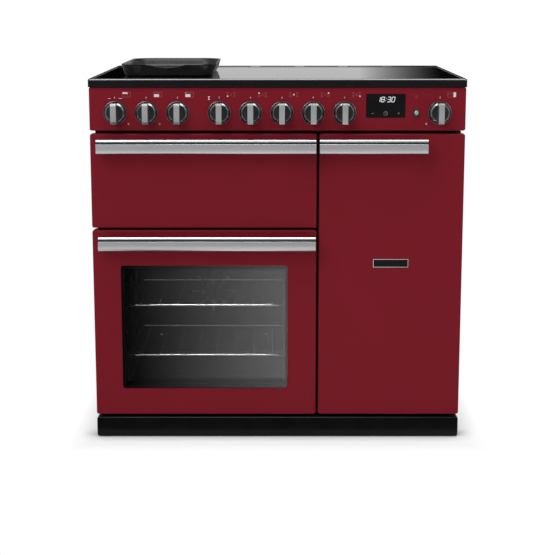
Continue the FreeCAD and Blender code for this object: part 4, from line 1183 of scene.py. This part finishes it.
class COOKER_OT_window_print(bpy.types.Operator):
    """Print the black border on the back of the window's outer pane."""

    bl_idname = "cooker.window_print"
    bl_label = "Window print"

    def execute(self, context):
        left, right, base, head = window_opening()
        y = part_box("main_door_glass")[0].y + 4.15 * MM
        band = 22 * MM
        bm = bmesh.new()
        for x0, x1, z0, z1 in ((left, left + band, base, head), (right - band, right, base, head),
                               (left + band, right - band, base, base + band),
                               (left + band, right - band, head - band, head)):
            corners = [(x0, y, z0), (x1, y, z0), (x1, y, z1), (x0, y, z1)]
            bm.faces.new([bm.verts.new(corner) for corner in corners])
        make_piece("window_print", bm, ("window_print",), "main_door")
        return {"FINISHED"}


class COOKER_OT_light_button(bpy.types.Operator):
    """Turn the light button's bezel and its cap with the stem."""

    bl_idname = "cooker.light_button"
    bl_label = "Light button"

    def execute(self, context):
        steps = context.scene.cooker_sizes.round_steps
        self.bezel(steps)
        self.cap(steps)
        return {"FINISHED"}

    def bezel(self, steps):
        face = door_face()
        profile = [(radius * MM, face - rise * MM) for radius, rise in
                   ((9.2, 0), (9.0, 1.6), (8.2, 2.4), (7.4, 1.8), (7.0, 0.3), (7.0, 0))]
        bm = bmesh.new()
        add_turned(bm, profile, *front_centre("light_button"), steps, (1, 1, 0, 1, 1, 1), closed=True)
        make_piece("light_button_bezel", bm, ("dark_chrome", "black_plastic"), "cabinet")

    def cap(self, steps):
        low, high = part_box("light_button")
        front, back, stem = low.y, door_face() - 2.5 * MM, 2.5 * MM
        radius = (high.x - low.x) / 2
        profile = [(0, high.y), (stem, high.y), (stem, back), (radius, back), (radius, front + 1.4 * MM),
                   (radius - 0.8 * MM, front + 0.8 * MM)]
        profile += [(reach * MM, front + drop * MM) for reach, drop in
                    ((4.7, 0.9), (4.4, 0.6), (2.6, 0.1), (0, 0))]
        bm = bmesh.new()
        add_turned(bm, profile, *front_centre("light_button"), steps, (0, 0, 1, 1, 1, 1, 0, 0, 0))
        finishes = ("knob_metal", "black_plastic")
        piece = make_piece("light_button_cap", bm, finishes, "light_button")
        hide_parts("light_button")


class COOKER_OT_screws(bpy.types.Operator):
    """Drive the pan-head screws that hold the main oven's fan baffle."""

    bl_idname = "cooker.screws"
    bl_label = "Baffle screws"

    def execute(self, context):
        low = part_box("fan_baffles")[0]
        middle = front_centre("main_oven_liner")[0]
        reach = middle - low.x - 6 * MM
        profile = [(radius * MM, low.y - rise * MM) for radius, rise in
                   ((3.6, 0), (3.4, 0.6), (2.4, 1.0), (1.2, 1.0), (0.8, 0.5), (0, 0.5))]
        bm = bmesh.new()
        for x in (middle - reach, middle + reach):
            add_turned(bm, profile, x, low.z + 27 * MM, 20, (0,) * 5)
        make_piece("screws", bm, ("bright_trim",), "cabinet")
        return {"FINISHED"}


class COOKER_OT_stage(bpy.types.Operator):
    """Lay the floor, hang the backdrop and set the lamps, the room light and the camera."""

    bl_idname = "cooker.stage"
    bl_label = "Stage"

    def execute(self, context):
        studio = context.scene.cooker_studio
        self.floor(context.scene.cooker_colours, studio)
        self.backdrop()
        for name, place, target, size, power, spread in (
                ("key_lamp", (-2.1, -3.0, 3.0), (0, -0.1, 0.4), (2.0, 2.0), studio.key, 180.0),
                ("overhead_lamp", (0.2, -0.7, 3.0), (0, -0.1, 0.8), (2.4, 1.2), studio.overhead, 180.0),
                ("fill_lamp", (2.8, -2.6, 1.9), (0, 0, 0.4), (1.6, 2.0), studio.fill, 180.0),
                ("oven_lamp", (-0.17, -0.2, 0.445), (-0.17, -0.185, 0.2), (0.3, 0.02), studio.oven, 50.0)):
            self.lamp(name, place, target, size, power, spread)
        self.room(context.scene, studio)
        self.camera(context.scene, studio)
        return {"FINISHED"}

    def sheet(self, name, corners, material):
        mesh = bpy.data.meshes.new(name)
        mesh.from_pydata(corners, [], [(0, 1, 2, 3)])
        mesh.materials.append(material)
        piece = bpy.data.objects.new(name, mesh)
        bpy.context.scene.collection.objects.link(piece)
        piece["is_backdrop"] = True

    def floor(self, colours, studio):
        """Pale floor with the cooker's shadow and a painted contact shadow at its base, and a pool of light
        for the window to mirror.
        """
        ground = Finish("floor_white")
        x, y = ground.axes("XY")
        bare = self.bare_floor(ground, x, y, colours)
        place, pool = self.light_pool(ground, x, y, studio)
        ground.close(ground.add("ShaderNodeMixShader", sockets={0: place, 1: bare, 2: pool}))
        far = 60.0
        self.sheet("floor", [(-far, -far, 0), (far, -far, 0), (far, far, 0), (-far, far, 0)], ground.owner)

    def bare_floor(self, ground, x, y, colours):
        """Matt floor that the camera sees as white: by half near the cooker, wholly further off, with a
        painted contact shadow where the cooker stands close.
        """
        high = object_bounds()[1]
        grain = ground.noise(3.0, detail=2.0)
        colour = ground.blend(grain, scaled(colours.floor, 0.99), colours.floor)
        matt = ground.add("ShaderNodeBsdfDiffuse", sockets={"Color": colour})
        # Ambient occlusion darkens the camera's white near the cooker's base: a painted contact shadow.
        open_share = ground.add("ShaderNodeAmbientOcclusion", sockets={"Distance": 0.045}, out="AO")
        white = ground.glow((open_share * 1.3 - 0.3).clamped())
        seen = ground.add("ShaderNodeLightPath", out="Is Camera Ray")
        away = (x.size() - high.x).larger(y.size() - high.y)
        clear = away.climb(0.01, 0.05) * 0.5 + 0.5
        return ground.add("ShaderNodeMixShader", sockets={0: seen * clear, 1: matt, 2: white})

    def light_pool(self, ground, x, y, studio):
        """Where a shiny surface mirrors the floor in front, and the glow that it shows there.

        The glow is shaped by the place on the doors where the camera finds that point mirrored.
        It starts above the plinth and dims upwards, and past the pool the floor is evenly bright.
        """
        mirrored = ground.add("ShaderNodeLightPath", out="Is Glossy Ray")
        on_doors = x * studio.distance / (studio.distance + door_face() - y)
        across = on_doors.climb(-0.38, 0.43) ** 1.4 * x.fall(0.75, 0.4)
        in_pool = y.climb(-2.75, 0.3)
        glow = across * (1.42 + y * 0.12) * y.fall(-0.52, 0.14)
        width = x.size().fall(1.1, 0.3)
        in_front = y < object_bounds()[0].y - 7.5 * MM
        place = mirrored * in_front * width.larger(1 - in_pool)
        return place, ground.glow(glow * in_pool + (1 - in_pool) * 0.95, 1.5)

    def backdrop(self):
        """Screen far behind the cooker: white to the camera, soft-edged and pale in the hob."""
        screen = Finish("backdrop_white")
        x = screen.axes("X")[0]
        softness = ((x - 0.05).size().fall(1.14, 0.74) ** 2.0 * 1.5).clamped()
        seen = screen.add("ShaderNodeLightPath", out="Is Camera Ray")
        screen.close(screen.glow(seen + (1 - seen) * softness * 0.67))
        half, behind, base, top = 1.6, 6.0, 0.2, 2.6
        self.sheet("backdrop", [(-half, behind, base), (half, behind, base), (half, behind, top),
                                (-half, behind, top)], screen.owner)

    def lamp(self, name, place, target, size, power, spread):
        """Rectangular lamp aimed at the target; the spread is in degrees."""
        light = bpy.data.lights.new(name, "AREA")
        light.shape = "RECTANGLE"
        light.size, light.size_y = size
        light.energy = power
        light.spread = math.radians(spread)
        lamp = bpy.data.objects.new(name, light)
        lamp.location = place
        aim = Vector(target) - Vector(place)
        lamp.rotation_euler = aim.to_track_quat("-Z", "Y").to_euler()
        lamp.visible_camera = False
        bpy.context.scene.collection.objects.link(lamp)

    def room(self, scene, studio):
        """Light from all round: white to the camera, dimmer on the cooker and a little less dim in metal."""
        world = bpy.data.worlds.new("room")
        light = Finish("room", world)
        seen = light.add("ShaderNodeLightPath", out="Is Camera Ray")
        mirrored = light.add("ShaderNodeLightPath", out="Is Glossy Ray")
        strength = seen + (1 - seen) * (mirrored * studio.sheen + studio.room)
        light.close(light.glow(strength, kind="ShaderNodeBackground"), "ShaderNodeOutputWorld")
        scene.world = world
        scene.view_settings.view_transform = "Standard"

    def camera(self, scene, studio):
        data = bpy.data.cameras.new("camera")
        data.lens = studio.lens
        data.sensor_width = 36.0
        data.shift_y = studio.shift
        camera = bpy.data.objects.new("camera", data)
        camera.location = (0, door_face() - studio.distance, studio.eye_height)
        camera.rotation_euler = (math.pi / 2 - studio.tilt, 0, 0)
        scene.collection.objects.link(camera)
        scene.camera = camera


OPERATORS = (COOKER_OT_finishes, COOKER_OT_knobs, COOKER_OT_handles, COOKER_OT_racks,
             COOKER_OT_griddle, COOKER_OT_display, COOKER_OT_symbols, COOKER_OT_plate,
             COOKER_OT_window_print, COOKER_OT_light_button, COOKER_OT_screws, COOKER_OT_stage)


class COOKER_PT_panel(bpy.types.Panel):
    """Lists the steps and the sizes and colours they use."""

    bl_label = "Range cooker"
    bl_idname = "COOKER_PT_panel"
    bl_space_type = "VIEW_3D"
    bl_region_type = "UI"
    bl_category = "Cooker"

    def draw(self, context):
        for operator in OPERATORS:
            self.layout.operator(operator.bl_idname)
        for name in ("cooker_sizes", "cooker_colours", "cooker_studio"):
            group = getattr(context.scene, name)
            for entry in group.bl_rna.properties:
                if entry.identifier not in ("rna_type", "name"):
                    self.layout.prop(group, entry.identifier)


GROUPS = {"cooker_sizes": CookerSizes, "cooker_colours": CookerColours, "cooker_studio": CookerStudio}


def register():
    for name, group in GROUPS.items():
        bpy.utils.register_class(group)
        setattr(bpy.types.Scene, name, PointerProperty(type=group))
    for entry in OPERATORS + (COOKER_PT_panel,):
        bpy.utils.register_class(entry)


def unregister():
    for entry in (COOKER_PT_panel,) + OPERATORS[::-1]:
        bpy.utils.unregister_class(entry)
    for name, group in GROUPS.items():
        delattr(bpy.types.Scene, name)
        bpy.utils.unregister_class(group)


def main():
    register()
    for operator in OPERATORS:
        family, step = operator.bl_idname.split(".")
        getattr(getattr(bpy.ops, family), step)()


if __name__ == "__main__":
    main()
